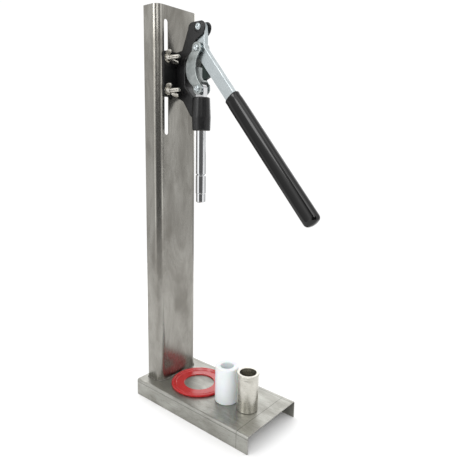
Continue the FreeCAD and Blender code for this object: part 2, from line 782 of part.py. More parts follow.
def make_lever_grip():
    """Dipped vinyl grip over the end of the arm."""
    body = new_body("lever_grip")
    half = f"({size('grip_depth')} / 2)"
    cap = size("grip_cap")
    start = size("grip_start")
    side_profile(body, "Pad", [
        arm_point(start, half),
        arm_point(f"{GRIP_END} - {cap}", half),
        arm_point(GRIP_END, f"{half} - {cap}") + (f"-{cap}",),
        arm_point(GRIP_END, f"-{half} + {cap}"),
        arm_point(f"{GRIP_END} - {cap}", f"-{half}") + (f"-{cap}",),
        arm_point(start, f"-{half}"),
    ], size("grip_width"))
    side = number(f"{size('grip_width')} / 2")
    arm = Vector(0, -number(ARM_COS), -number(ARM_SIN))
    middle = Vector(0, number(ELBOW_Y), number(ELBOW_Z))
    begin = number(start)

    def along_side(edge):
        """Whether an edge runs round one of the grip's flat sides, past its start."""
        on_side = abs(abs(edge.CenterOfMass.x) - side) < NEAR
        return on_side and (edge.CenterOfMass - middle).dot(arm) > begin + NEAR

    soften(body, "Fillet", along_side, size("grip_round"))
    pocket_half = f"{size('lever_depth')} / 2"
    side_profile(body, "Pocket", [
        arm_point(f"{start} - {OVERRUN}", pocket_half),
        arm_point(f"{GRIP_END} - {cap}", pocket_half),
        arm_point(f"{GRIP_END} - {cap}", f"-{pocket_half}"),
        arm_point(f"{start} - {OVERRUN}", f"-{pocket_half}"),
    ], f"2 * {size('lever_half')}")


def make_lever_joint_pin():
    """Plain pin through the elbow, short of the link's cheeks."""
    body = new_body("lever_joint_pin")
    side_circle(body, "Pad", (ELBOW_Y, ELBOW_Z), size("pivot_pin"), f"2 * {SPACER_END}")


def spacer_pair(name, place, inner, bore):
    """Two spacer rings, one each side, out to the link's cheeks."""
    solids = []
    centre_y, centre_z = number(place[0]), number(place[1])
    start, stop = number(inner), number(SPACER_END)
    for side in (-1, 1):
        base = Vector(side * start, centre_y, centre_z)
        outward = Vector(side, 0, 0)
        ring = Part.makeCylinder(number(size("spacer_radius")), stop - start, base, outward)
        solids.append(ring.cut(Part.makeCylinder(number(bore), stop - start, base, outward)))
    add_feature(name, solids)


def hollow_back(along):
    """How far behind the link's centre line its hollow edge runs at a place along it."""
    radius = size("link_hollow")
    half = f"({size('link_length')} / 2)"
    chord = f"({half} - {size('link_hollow_end')})"
    centre = f"(sqrt({radius}^2 - {chord}^2) + {size('link_eye')})"
    return f"(sqrt({radius}^2 - (({along}) - {half})^2) - {centre})"


def belly_path(spread):
    """Outline of the link between its two joggles, its long sides moved apart by a spread."""
    eye, back = size("link_eye"), size("link_back")
    length, step = size("link_length"), size("link_hollow_end")
    return [
        link_point(f"{back} + {spread}", step),
        link_point(f"{back} + {spread}", f"{length} - {step}") + (f"-{size('link_belly')}",),
        link_point(f"-{eye} - {spread}", f"{length} - {step}"),
        link_point(f"-{eye} - {spread}", step) + (size("link_hollow"),),
    ]


def make_link_channel():
    """Bowed link: two cheeks with an eye at each end and a web across their hollow side."""
    body = new_body("link_channel")
    eye, back = size("link_eye"), size("link_back")
    length, sheet = size("link_length"), size("link_sheet")
    hollow, end = size("link_hollow"), size("link_hollow_end")
    width = f"2 * {size('link_half')}"
    side_profile(body, "Pad", [
        link_point(eye, "0") + (f"-{eye}",),
        link_point(back, f"{end} - {size('edge_break')}"),
        link_point(back, f"{length} - {end} + {size('edge_break')}") + (f"-{size('link_belly')}",),
        link_point(eye, length),
        link_point(f"-{eye}", length) + (f"-{eye}",),
        link_point(f"-{eye}", f"{length} - {end}"),
        link_point(f"-{eye}", end) + (hollow,),
        link_point(f"-{eye}", "0"),
    ], width)
    joggle = size("link_joggle")
    side_profile(body, "Pad", belly_path("0"), f"{width} + 2 * {joggle}")
    side_profile(body, "Pocket", belly_path(f"4 * {OVERRUN}"), f"2 * ({LINK_INNER} + {joggle})")
    side_profile(body, "Pocket", [
        link_point(f"-{length}", f"-{length}"),
        link_point(length, f"-{length}"),
        link_point(length, f"2 * {length}"),
        link_point(f"-{length}", f"2 * {length}"),
    ], f"2 * {LINK_INNER}")
    low, high = size("web_low"), size("web_high")
    side_profile(body, "Pad", [
        link_point(hollow_back(low), low),
        link_point(hollow_back(high), high) + (f"-{hollow}",),
        link_point(f"{hollow_back(high)} + {sheet}", high),
        link_point(f"{hollow_back(low)} + {sheet}", low) + (hollow,),
    ], width)
    side_circle(body, "Pocket", ("0", TONGUE_Z), size("pivot_pin"), f"2 * {width}")
    side_circle(body, "Pocket", (ELBOW_Y, ELBOW_Z), size("link_hole"), f"2 * {width}")


def make_link_upper_rivets():
    """Headed ends of the elbow rivet, one in each cheek of the link."""
    solids = []
    thick, sheet = number(size("head_thick")), number(size("link_sheet"))
    inner, outer = number(LINK_INNER), number(size("link_half"))
    for side in (-1, 1):
        outward = Vector(side, 0, 0)
        base = Vector(side * inner, number(ELBOW_Y), number(ELBOW_Z))
        seat = Vector(side * outer, number(ELBOW_Y), number(ELBOW_Z))
        shank = Part.makeCylinder(number(size("link_hole")), sheet + thick / 2, base, outward)
        head = Part.makeCylinder(number(size("rivet_head")), thick, seat, outward)
        solids.append(shank.fuse(head).removeSplitter())
    add_feature("link_upper_rivets", solids)


def make_link_lower_pin():
    """Headed pin through the link's lower eyes and the plunger's tongue."""
    body = new_body("link_lower_pin")
    place = ("0", TONGUE_Z)
    headed_pin(body, place, size("pivot_pin"), size("link_half"), size("rivet_head"))


def make_plunger_rod():
    """Bright rod with a gauge groove, flattened at the top into a tongue with an eye."""
    body = new_body("plunger_rod")
    radius, groove = size("rod_radius"), size("rod_groove")
    depth, chamfer = size("rod_groove_depth"), size("rod_break")
    turned_profile(body, "Revolution", [
        ("0", TIP_TOP),
        (f"{radius} - {chamfer}", TIP_TOP),
        (radius, f"{TIP_TOP} + {chamfer}"),
        (radius, f"{groove} - {depth}"),
        (f"{radius} - {depth}", groove),
        (radius, f"{groove} + {depth}"),
        (radius, f"{ROD_TOP} - {chamfer}"),
        (f"{radius} - {chamfer}", ROD_TOP),
        ("0", ROD_TOP),
    ])
    half = f"({size('tongue_depth')} / 2)"
    side_profile(body, "Pad", [
        (f"-{half}", f"{ROD_TOP} - {chamfer}"),
        (half, f"{ROD_TOP} - {chamfer}"),
        (half, TONGUE_Z),
        (f"-{half}", TONGUE_Z, f"-{half}"),
    ], f"2 * {size('tongue_half')}")
    bore = f"{size('pivot_pin')} + {size('running_fit')}"
    side_circle(body, "Pocket", ("0", TONGUE_Z), bore, f"4 * {size('tongue_half')}")


def make_plunger_tip():
    """Hard plain tip under the rod, slightly smaller and chamfered."""
    body = new_body("plunger_tip")
    radius, low, chamfer = size("tip_radius"), size("rod_tip"), size("tip_break")
    turned_profile(body, "Revolution", [
        ("0", low),
        (f"{radius} - {chamfer}", low),
        (radius, f"{low} + {chamfer}"),
        (radius, TIP_TOP),
        ("0", TIP_TOP),
    ])


def stand_on_base(body, side, front):
    """Place a loose turned piece on the base, beside and ahead of the axis."""
    body.setExpression("Placement.Base.x", side)
    body.setExpression("Placement.Base.y", f"{AXIS_Y} - {front}")
    body.setExpression("Placement.Base.z", size("base_height"))


def make_nylon_sleeve():
    """Plain white sleeve with a straight bore."""
    body = new_body("nylon_sleeve")
    stand_on_base(body, size("nylon_side"), size("nylon_front"))
    outer, bore, top = size("nylon_radius"), size("nylon_bore"), size("nylon_height")
    unit = size("edge_break")
    turned_profile(body, "Revolution", [
        (bore, "0"),
        (f"{outer} - {unit}", "0"),
        (outer, unit, unit),
        (outer, f"{top} - {unit}"),
        (f"{outer} - {unit}", top, unit),
        (f"{bore} + {unit}", top),
        (bore, f"{top} - {unit}"),
    ])


def make_steel_sleeve():
    """Straight steel sleeve with a rim, a ring under it and a bore that narrows downwards."""
    body = new_body("steel_sleeve")
    stand_on_base(body, size("steel_side"), size("steel_front"))
    top, rim, outer = size("steel_height"), size("steel_rim_radius"), size("steel_radius")
    under_rim = f"({top} - {size('steel_rim_height')})"
    ring, width = f"({top} - {size('steel_ring_height')})", size("steel_ring_width")
    unit = size("edge_break")
    turned_profile(body, "Revolution", [
        (size("steel_throat"), "0"),
        (f"{outer} - {unit}", "0"),
        (outer, unit),
        (outer, f"{ring} - {width}"),
        (f"{outer} - {width} / 2", ring),
        (outer, f"{ring} + {width}"),
        (outer, under_rim),
        (rim, f"{under_rim} + {unit} / 2"),
        (rim, f"{top} - {unit}"),
        (f"{rim} - {unit}", top),
        (size("steel_mouth"), top),
        (size("steel_throat"), f"{top} / 3"),
    ])


def check_document():
    """Stop if any object failed or any part's shape is missing or broken."""
    for item in DOC.Objects:
        if "Invalid" in item.State or "Error" in item.State:
            raise RuntimeError(f"{item.Name} is {item.State}")
    for part in PARTS:
        if part.Shape.isNull() or not part.Shape.isValid() or not part.Shape.Solids:
            raise RuntimeError(f"{part.Label} has no sound shape")


def write_parts(folder):
    """Write each part to its own STEP file."""
    os.makedirs(folder, exist_ok=True)
    for part in PARTS:
        part.Shape.exportStep(os.path.join(folder, f"{part.Label}.step"))


def main():
    """Build every part, check it and write it."""
    make_base_channel()
    make_column_channel()
    make_column_weld()
    make_bottle_pad()
    make_mount_plate()
    make_head_frame()
    make_guide_bush()
    make_frame_pivot_pin()
    make_clamp_bolts()
    make_clamp_washers()
    for name, (side, height) in bolt_places().items():
        make_wing_nut(name, side, height)
    make_lever_channel()
    make_lever_stiffener()
    make_lever_grip()
    make_lever_joint_pin()
    elbow = (ELBOW_Y, ELBOW_Z)
    spacer_pair("lever_joint_spacers", elbow, size("lever_half"), size("pivot_pin"))
    make_link_channel()
    make_link_upper_rivets()
    make_link_lower_pin()
    make_plunger_rod()
    bore = f"{size('pivot_pin')} + {size('running_fit')}"
    spacer_pair("plunger_spacers", ("0", TONGUE_Z), size("tongue_half"), bore)
    make_plunger_tip()
    make_nylon_sleeve()
    make_steel_sleeve()
    DOC.recompute()
    check_document()
    write_parts("parts")
    for part in PARTS:
        box = part.Shape.BoundBox
        print(f"{part.Label}: {len(part.Shape.Solids)} solids, {part.Shape.Volume:.0f} mm3, {box}")


main()
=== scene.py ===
"""Looks of a bench capping machine: folded steel stand, cast head, hand lever and plunger."""

import json
import logging
import math
from dataclasses import dataclass
from enum import Enum
from typing import Any, Iterable, Sequence

import bmesh
import bpy
from mathutils import Matrix, Vector


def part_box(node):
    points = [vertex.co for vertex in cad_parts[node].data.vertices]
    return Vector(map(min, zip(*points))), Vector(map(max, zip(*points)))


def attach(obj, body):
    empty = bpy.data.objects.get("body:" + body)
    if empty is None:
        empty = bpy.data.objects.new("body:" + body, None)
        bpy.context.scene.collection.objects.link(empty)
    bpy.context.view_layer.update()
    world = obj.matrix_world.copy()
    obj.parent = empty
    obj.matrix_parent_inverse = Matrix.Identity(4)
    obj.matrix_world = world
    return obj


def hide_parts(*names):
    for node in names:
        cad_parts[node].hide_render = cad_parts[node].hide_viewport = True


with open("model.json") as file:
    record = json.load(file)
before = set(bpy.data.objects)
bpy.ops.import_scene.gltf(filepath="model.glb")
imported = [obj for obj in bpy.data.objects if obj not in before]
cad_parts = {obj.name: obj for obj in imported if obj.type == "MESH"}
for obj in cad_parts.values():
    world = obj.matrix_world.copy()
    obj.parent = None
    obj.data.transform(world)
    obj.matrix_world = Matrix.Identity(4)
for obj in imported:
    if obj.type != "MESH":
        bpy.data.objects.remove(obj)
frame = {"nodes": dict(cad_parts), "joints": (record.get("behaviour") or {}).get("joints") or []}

MM = 0.001
LOG = logging.getLogger("capping_machine")
CORNERS = ("upper_left", "upper_right", "lower_left", "lower_right")
MERGE_MM = 0.002
FLAT_DEGREES = 0.5
EDGE_DEGREES = 30.0
Profile = Sequence[tuple[float, float]]


# ---------------------------------------------------------------- node helpers


def linear(hex_colour: str) -> tuple[float, float, float, float]:
    """Turn an sRGB hex colour into linear RGBA.

    Args:
        hex_colour: Six hex digits, such as "8a8c8e".

    Returns:
        Linear red, green and blue with an alpha of one.
    """
    channels = [int(hex_colour[index:index + 2], 16) / 255 for index in (0, 2, 4)]
    values = [c / 12.92 if c <= 0.04045 else ((c + 0.055) / 1.055) ** 2.4 for c in channels]
    return (values[0], values[1], values[2], 1.0)


def add_node(
    tree: bpy.types.NodeTree,
    kind: str,
    settings: dict[str, Any] | None = None,
    inputs: dict[int | str, Any] | None = None,
) -> bpy.types.Node:
    """Add a node with its settings and links.

    Args:
        tree: The node tree that gets the node.
        kind: The node's type name.
        settings: Attributes to set on the node.
        inputs: Values, or output sockets to link, by input name or number.

    Returns:
        The new node.
    """
    node = tree.nodes.new(kind)
    for name, value in (settings or {}).items():
        setattr(node, name, value)
    for key, value in (inputs or {}).items():
        if isinstance(value, bpy.types.NodeSocket):
            tree.links.new(value, node.inputs[key])
        else:
            node.inputs[key].default_value = value
    return node


def new_material(name: str) -> tuple[bpy.types.Material, bpy.types.NodeTree]:
    """Make an empty node material.

    Args:
        name: The material's name.

    Returns:
        The material and its cleared node tree.
    """
    material = bpy.data.materials.new(name)
    material.use_nodes = True
    material.node_tree.nodes.clear()
    return material, material.node_tree


def pattern(
    tree: bpy.types.NodeTree,
    size_mm: Sequence[float],
    detail: float = 3.0,
    rough: float = 0.55,
    distortion: float = 0.0,
    centre: Sequence[float] = (0.0, 0.0, 0.0),
) -> bpy.types.NodeSocket:
    """Noise whose features have a real size along each axis.

    Args:
        tree: The node tree to build in.
        size_mm: Feature size along X, Y and Z in millimetres.
        detail: Octaves of finer noise.
        rough: Strength of the finer octaves.
        distortion: How much the noise bends itself.
        centre: A place in metres that the pattern is measured from.

    Returns:
        The noise factor socket.
    """
    place = add_node(tree, "ShaderNodeTexCoord").outputs["Object"]
    scale = tuple(1 / (MM * size) for size in size_mm)
    shift = tuple(-c * s for c, s in zip(centre, scale))
    spread = {"Vector": place, "Location": shift, "Scale": scale}
    moved = add_node(tree, "ShaderNodeMapping", {}, spread)
    inputs = {"Vector": moved.outputs[0], "Scale": 1.0, "Detail": detail, "Roughness": rough,
              "Distortion": distortion}
    return add_node(tree, "ShaderNodeTexNoise", {}, inputs).outputs["Fac"]


def ramp(
    tree: bpy.types.NodeTree,
    factor: bpy.types.NodeSocket,
    stops: Sequence[tuple[float, float]],
) -> bpy.types.NodeSocket:
    """Map a factor through straight stretches between two levels.

    Args:
        tree: The node tree to build in.
        factor: The socket to map.
        stops: The two (from, to) pairs: input level and output level.

    Returns:
        The mapped value socket.
    """
    (low_in, low_out), (high_in, high_out) = stops
    inputs = {"Value": factor, "From Min": low_in, "From Max": high_in,
              "To Min": low_out, "To Max": high_out}
    return add_node(tree, "ShaderNodeMapRange", {}, inputs).outputs["Result"]


def blend_colour(
    tree: bpy.types.NodeTree,
    factor: bpy.types.NodeSocket,
    first: Any,
    second: Any,
    way: str = "MIX",
) -> bpy.types.NodeSocket:
    """Mix two colours by a factor.

    Args:
        tree: The node tree to build in.
        factor: Share of the second colour.
        first: Colour value or socket at zero.
        second: Colour value or socket at one.
        way: The blend type.

    Returns:
        The mixed colour socket.
    """
    settings = {"data_type": "RGBA", "blend_type": way}
    node = add_node(tree, "ShaderNodeMix", settings, {0: factor, 6: first, 7: second})
    return node.outputs[2]


# -------------------------------------------------------------------- finishes


class Grain(Enum):
    """Which way the marks of rolling, brushing or turning run."""

    UPRIGHT = (1.0, 1.0, 45.0)
    LENGTHWAYS = (1.0, 45.0, 1.0)
    TURNED = (400.0, 400.0, 1.0)
    CROSSED = (400.0, 1.0, 1.0)
    NONE = (1.0, 1.0, 1.0)


# Scratches are thin slices through a drawn-out noise: where it crosses a level, within a width.
SCRATCH_MM = (5.0, 55.0, 5.0)
SCRATCH_LEVELS = ((0.5, 0.012), (0.62, 0.010))
# A film's edge leaves a thin dark line.
FILM_EDGE_MM = 0.35
FILM_EDGE = 0.75
FILM_EDGE_COLOUR = "3f3e3b"
# How much stains and specks add to the roughness, and how strongly the marks darken the metal.
STAIN_DULLS = 0.16
SPECK_DULLS = 0.06
MARK_SHADE = 0.22
SPECK_MM = 2.5
RUB_MM = 14.0
# Heights that a bump strength of one stands for.
MARK_HEIGHT_MM = 0.05
PEEL_HEIGHT_MM = 0.2


@dataclass(frozen=True)
class MetalFinish:
    """A bare or plated metal with its marks, stains and polish.

    Attributes:
        name: The material's name.
        light: Colour where the metal is clean.
        dark: Colour where it is stained or worn.
        roughness: Mean roughness.
        spread: How much roughness changes with the marks.
        grain: Which way the marks run.
        grain_mm: Width of one mark.
        depth: Strength of the bump from the marks.
        stain_mm: Size of the stains.
        stain: How strongly the stains show, from 0 to 1.
        metallic: Share of metal in the shader.
        anisotropic: How far highlights stretch across the marks.
        scratch: Strength of long wavering scratches.
        lines: Edges left by a protective film, as an axis number and a place in millimetres.
    """

    name: str
    light: str
    dark: str
    roughness: float
    spread: float = 0.08
    grain: Grain = Grain.NONE
    grain_mm: float = 0.4
    depth: float = 0.05
    stain_mm: tuple[float, float, float] = (40.0, 40.0, 60.0)
    stain: float = 0.5
    metallic: float = 1.0
    anisotropic: float = 0.0
    scratch: float = 0.0
    lines: tuple[tuple[int, float], ...] = ()

    def scratched(
        self,
        tree: bpy.types.NodeTree,
        colour: bpy.types.NodeSocket,
    ) -> bpy.types.NodeSocket:
        """Darken a colour along scratches and film edges.

        Args:
            tree: The node tree to build in.
            colour: The colour socket before them.

        Returns:
            The colour socket after them.
        """
        if self.scratch:
            threads = pattern(tree, SCRATCH_MM, 2.0, 0.4, 1.4)
            near, also = [
                add_node(tree, "ShaderNodeMath", {"operation": "COMPARE"},
                         {0: threads, 1: level, 2: width}).outputs[0]
                for level, width in SCRATCH_LEVELS]
            both = add_node(tree, "ShaderNodeMath", {"operation": "MAXIMUM"}, {0: near, 1: also})
            strength = ramp(tree, both.outputs[0], ((0.0, 0.0), (1.0, self.scratch)))
            colour = blend_colour(tree, strength, colour, linear(self.dark))
        if self.lines:
            place = add_node(tree, "ShaderNodeTexCoord").outputs["Object"]
            parts = add_node(tree, "ShaderNodeSeparateXYZ", {}, {0: place})
            for axis, spot in self.lines:
                near = add_node(tree, "ShaderNodeMath", {"operation": "COMPARE"},
                                {0: parts.outputs[axis], 1: spot * MM, 2: FILM_EDGE_MM * MM})
                strength = ramp(tree, near.outputs[0], ((0.0, 0.0), (1.0, FILM_EDGE)))
                colour = blend_colour(tree, strength, colour, linear(FILM_EDGE_COLOUR))
        return colour

    def build(self) -> bpy.types.Material:
        """Make the material.

        Returns:
            The finished material.
        """
        material, tree = new_material(self.name)
        marks = pattern(tree, [self.grain_mm * share for share in self.grain.value], 4.0, 0.6)
        stains = pattern(tree, self.stain_mm, 6.0, 0.6, 0.6)
        specks = pattern(tree, (SPECK_MM,) * 3, 3.0, 0.6)
        stained = ramp(tree, stains, ((0.38, 0.0), (0.68, self.stain)))
        colour = blend_colour(tree, stained, linear(self.light), linear(self.dark))
        shade = ramp(tree, marks, ((0.3, 0.0), (0.7, MARK_SHADE)))
        colour = self.scratched(tree, blend_colour(tree, shade, colour, linear(self.dark)))
        smooth, rough = self.roughness - self.spread, self.roughness + self.spread
        level = ramp(tree, marks, ((0.25, smooth), (0.75, rough)))
        dulled = add_node(tree, "ShaderNodeMath", {"operation": "MULTIPLY_ADD"},
                          {0: stained, 1: STAIN_DULLS, 2: level}).outputs[0]
        specked = add_node(tree, "ShaderNodeMath", {"operation": "MULTIPLY_ADD"},
                           {0: specks, 1: SPECK_DULLS, 2: dulled}).outputs[0]
        bump = add_node(tree, "ShaderNodeBump", {}, {
            "Strength": self.depth, "Distance": MARK_HEIGHT_MM * MM, "Height": marks})
        shader = add_node(tree, "ShaderNodeBsdfPrincipled", {}, {
            "Base Color": colour, "Metallic": self.metallic, "Roughness": specked,
            "Anisotropic": self.anisotropic, "Normal": bump.outputs[0]})
        add_node(tree, "ShaderNodeOutputMaterial", {}, {"Surface": shader.outputs[0]})
        return material


@dataclass(frozen=True)
class CoatFinish:
    """A painted, dipped or moulded surface.

    Attributes:
        name: The material's name.
        colour: Main colour.
        worn: Colour of rubbed or dusty places.
        roughness: Mean roughness.
        spread: How much roughness changes from place to place.
        peel_mm: Size of the surface's waves.
        peel: Strength of the bump from the waves.
        fine_mm: Size of the fine texture.
        fine: Strength of the fine texture.
        wear: How strongly the worn colour shows.
        coat: Weight of a clear glossy skin.
        coat_roughness: Roughness of that skin.
        ior: Refractive index.
        scatter: Share of light that scatters under the surface.
        scatter_mm: How far it travels there.
    """

    name: str
    colour: str
    worn: str
    roughness: float
    spread: float = 0.05
    peel_mm: float = 3.0
    peel: float = 0.06
    fine_mm: float = 0.4
    fine: float = 0.03
    wear: float = 0.2
    coat: float = 0.0
    coat_roughness: float = 0.1
    ior: float = 1.5
    scatter: float = 0.0
    scatter_mm: float = 3.0

    def build(self) -> bpy.types.Material:
        """Make the material.

        Returns:
            The finished material.
        """
        material, tree = new_material(self.name)
        waves = pattern(tree, (self.peel_mm,) * 3, 2.0, 0.5)
        fine = pattern(tree, (self.fine_mm,) * 3, 4.0, 0.6)
        rubbed = pattern(tree, (RUB_MM,) * 3, 6.0, 0.65, 0.4)
        worn = ramp(tree, rubbed, ((0.45, 0.0), (0.75, self.wear)))
        colour = blend_colour(tree, worn, linear(self.colour), linear(self.worn))
        smooth, rough = self.roughness - self.spread, self.roughness + self.spread
        level = ramp(tree, rubbed, ((0.3, smooth), (0.7, rough)))
        height = add_node(tree, "ShaderNodeMath", {"operation": "MULTIPLY_ADD"},
                          {0: fine, 1: self.fine, 2: waves}).outputs[0]
        bump = add_node(tree, "ShaderNodeBump", {}, {
            "Strength": self.peel, "Distance": PEEL_HEIGHT_MM * MM, "Height": height})
        shader = add_node(tree, "ShaderNodeBsdfPrincipled", {}, {
            "Base Color": colour, "Roughness": level, "IOR": self.ior, "Coat Weight": self.coat,
            "Coat Roughness": self.coat_roughness, "Subsurface Weight": self.scatter,
            "Subsurface Scale": self.scatter_mm * MM, "Normal": bump.outputs[0]})
        add_node(tree, "ShaderNodeOutputMaterial", {}, {"Surface": shader.outputs[0]})
        return material


# Cold-rolled stainless sheet: faint rolling lines along the base, dull, with handling stains.
ROLLED_SHEET = MetalFinish("rolled_stainless_sheet", "aeaea8", "77756e", 0.33, 0.09,
                           Grain.LENGTHWAYS, 0.35, 0.10, (26.0, 60.0, 26.0), 0.65, scratch=0.45,
                           lines=((1, -71.5), (0, 55.0), (2, 24.2)))
# Brushed stainless sheet: upright brush lines and brownish smears that dull the reflection.
BRUSHED_SHEET = MetalFinish("brushed_stainless_sheet", "a19f99", "5f5b54", 0.20, 0.06,
                            Grain.UPRIGHT, 0.35, 0.08, (34.0, 34.0, 110.0), 0.6)
# Arc weld: rippled, straw to brown heat tint.
WELD_BEAD = MetalFinish("arc_weld_steel", "8b8984", "4a463f", 0.42, 0.1,
                        Grain.NONE, 0.8, 0.3, (9.0, 9.0, 9.0), 0.8)
# Zinc plate over pressed steel: pale blue-grey, smooth, satin, with a faint mottle.
ZINC_PLATE = MetalFinish("bright_zinc_plate", "c6cdcf", "969fa1", 0.25, 0.05,
                         Grain.NONE, 1.2, 0.05, (9.0, 9.0, 9.0), 0.45)
# Painted shade: the same plate on the link, made darker, greyer and a little rougher so that the
# link looks dimmer than the lever.
LINK_SHADED_ZINC = MetalFinish("link_zinc_painted_shade", "b3b8b7", "6f7776", 0.28, 0.06,
                        Grain.NONE, 1.2, 0.06, (9.0, 9.0, 9.0), 0.6)
# Nickel-plated castings and bolts: warm bright metal with small dents.
NICKEL_PLATE = MetalFinish("nickel_plate", "cfccc4", "7d7a74", 0.17, 0.05,
                           Grain.NONE, 0.9, 0.18, (6.0, 6.0, 6.0), 0.4)
# Ground and chromed shaft: mirror-like, with very fine grinding rings drawn 0.25 mm apart.
CHROMED_SHAFT = MetalFinish("hard_chromed_shaft", "dedfe0", "b4b6b8", 0.07, 0.02,
                            Grain.TURNED, 0.25, 0.02, (30.0, 30.0, 30.0), 0.25)
# Turned stainless tube: fine tool rings round it.
TURNED_STEEL = MetalFinish("turned_stainless", "cfcdc5", "9a968c", 0.22, 0.06,
                           Grain.TURNED, 0.3, 0.10, (18.0, 18.0, 18.0), 0.35)
# Oil-soaked sintered bronze: matt, brown in its pores.
SINTERED_BRONZE = MetalFinish("sintered_bronze", "9a7442", "5b4022", 0.38, 0.06,
                              Grain.TURNED, 0.3, 0.1, (6.0, 6.0, 6.0), 0.5)
# Painted shade: dark blue-green steel with a faint sheen, which stands in for the shade inside the
# lever's fork.
FORK_SHADE_DARK_STEEL = MetalFinish("fork_painted_shade_steel", "39423f", "161a19", 0.34, 0.08,
                          Grain.NONE, 0.8, 0.12, (7.0, 7.0, 7.0), 0.5)
# Satin black stoving paint over a casting: soft orange peel.
CAST_PAINT = CoatFinish("satin_black_stoving_paint", "070708", "151517", 0.36, 0.06,
                        2.2, 0.22, 0.5, 0.3, 0.25)
# Dipped vinyl: thick, wet-looking black skin with slow waves.
DIPPED_VINYL = CoatFinish("dipped_black_vinyl", "020202", "050506", 0.11, 0.03,
                          16.0, 0.16, 1.2, 0.05, 0.1, coat=0.15, coat_roughness=0.04, ior=1.38)
# Moulded gloss ABS: clean saturated red.
RED_ABS = CoatFinish("moulded_red_abs", "b40e13", "8e0a0f", 0.24, 0.05, 5.0, 0.08, 0.5, 0.05, 0.3,
                     coat=0.3, coat_roughness=0.12, ior=1.53, scatter=0.05)
# Turned nylon: milky white with light scattering inside.
TURNED_NYLON = CoatFinish("turned_white_nylon", "dfe3e5", "d2d7da", 0.38, 0.05,
                          4.0, 0.05, 0.5, 0.2, 0.3, ior=1.53, scatter=0.35, scatter_mm=4.0)


# ---------------------------------------------------------------- mesh helpers


def link_object(name: str, mesh: bpy.types.Mesh) -> bpy.types.Object:
    """Put a mesh in the scene as an object at the origin.

    Args:
        name: The object's name.
        mesh: Its mesh, already in place.

    Returns:
        The new object.
    """
    thing = bpy.data.objects.new(name, mesh)
    bpy.context.scene.collection.objects.link(thing)
    return thing


def mesh_from(bm: bmesh.types.BMesh, name: str, sharp_degrees: float = 35.0) -> bpy.types.Mesh:
    """Finish a bmesh as a smooth-shaded mesh with outward faces.

    Args:
        bm: The bmesh, which is freed.
        name: The mesh's name.
        sharp_degrees: Edges that turn by more than this stay crisp.

    Returns:
        The new mesh.
    """
    bmesh.ops.recalc_face_normals(bm, faces=bm.faces)
    mesh = bpy.data.meshes.new(name)
    bm.to_mesh(mesh)
    bm.free()
    mesh.shade_smooth()
    mesh.set_sharp_from_angle(angle=math.radians(sharp_degrees))
    return mesh


def baked(thing: bpy.types.Object, sharp_degrees: float | None = 35.0) -> bpy.types.Object:
    """Replace an object's mesh with its evaluated one and drop its modifiers.

    Args:
        thing: The object with modifiers.
        sharp_degrees: Edges that turn by more than this stay crisp; None leaves the shading alone.

    Returns:
        The same object.
    """
    evaluated = thing.evaluated_get(bpy.context.evaluated_depsgraph_get())
    mesh = bpy.data.meshes.new_from_object(evaluated)
    thing.modifiers.clear()
    thing.data = mesh
    if sharp_degrees is not None:
        mesh.shade_smooth()
        mesh.set_sharp_from_angle(angle=math.radians(sharp_degrees))
    return thing


def lathe(profile: Profile, place: Vector, turn: Matrix, sides: int = 64) -> bmesh.types.BMesh:
    """Turn a profile about an axis.

    Args:
        profile: (radius, height) corners in millimetres; a closed loop, or ends on the axis.
        place: Where height zero stands, in metres.
        turn: Rotation from Z to the axis.
        sides: How many flats make the circle.

    Returns:
        The closed solid.
    """
    bm = bmesh.new()
    closed = profile[0][0] > 0 and profile[-1][0] > 0
    rings = []
    for radius, height in profile:
        count = sides if radius > 0 else 1
        ring = []
        for index in range(count):
            angle = 2 * math.pi * index / sides
            spot = Vector((radius * math.cos(angle), radius * math.sin(angle), height)) * MM
            ring.append(bm.verts.new(turn @ spot + place))
        rings.append(ring)
    pairs = list(zip(rings, rings[1:])) + ([(rings[-1], rings[0])] if closed else [])
    for lower, upper in pairs:
        for index in range(sides):
            corners = [lower[index % len(lower)], lower[(index + 1) % len(lower)],
                       upper[(index + 1) % len(upper)], upper[index % len(upper)]]
            unique = list(dict.fromkeys(corners))
            if len(unique) > 2:
                bm.faces.new(unique)
    return bm


def bridge(bm: bmesh.types.BMesh, rings: Sequence[Sequence[bmesh.types.BMVert]]) -> None:
    """Skin a row of rings that have the same number of corners.

    Args:
        bm: The bmesh that holds the rings.
        rings: Corners of each ring, in the same order round.
    """
    for lower, upper in zip(rings, rings[1:]):
        for side in range(len(lower)):
            after = (side + 1) % len(lower)
            bm.faces.new((lower[side], lower[after], upper[after], upper[side]))


def run_tree(thing: bpy.types.Object, tree: bpy.types.NodeTree, values: dict[str, Any]) -> None:
    """Put a geometry node tree on an object and bake what it makes.

    Args:
        thing: The object that gets the tree.
        tree: The geometry node tree.
        values: What its named inputs are set to.
    """
    modifier = thing.modifiers.new(tree.name, "NODES")
    modifier.node_group = tree
    sockets = {item.name: item.identifier for item in tree.interface.items_tree}
    for name, value in values.items():
        modifier[sockets[name]] = value
    baked(thing, 50.0)


def merge(target: bmesh.types.BMesh, source: bmesh.types.BMesh) -> None:
    """Move all of one bmesh into another.

    Args:
        target: The bmesh that grows.
        source: The bmesh that is moved, which is freed.
    """
    mesh = bpy.data.meshes.new("part")
    source.to_mesh(mesh)
    source.free()
    target.from_mesh(mesh)
    bpy.data.meshes.remove(mesh)


def clean_copy(node: str, name: str) -> bpy.types.Object:
    """Copy a CAD node as a merged mesh whose flat faces are whole.

    Args:
        node: The CAD node to copy.
        name: The copy's name.

    Returns:
        The copy as its own object.
    """
    bm = bmesh.new()
    bm.from_mesh(frame["nodes"][node].data)
    bmesh.ops.remove_doubles(bm, verts=bm.verts, dist=MERGE_MM * MM)
    thing = link_object(name, mesh_from(bm, name, 25.0))
    thing.data.materials.clear()
    return thing


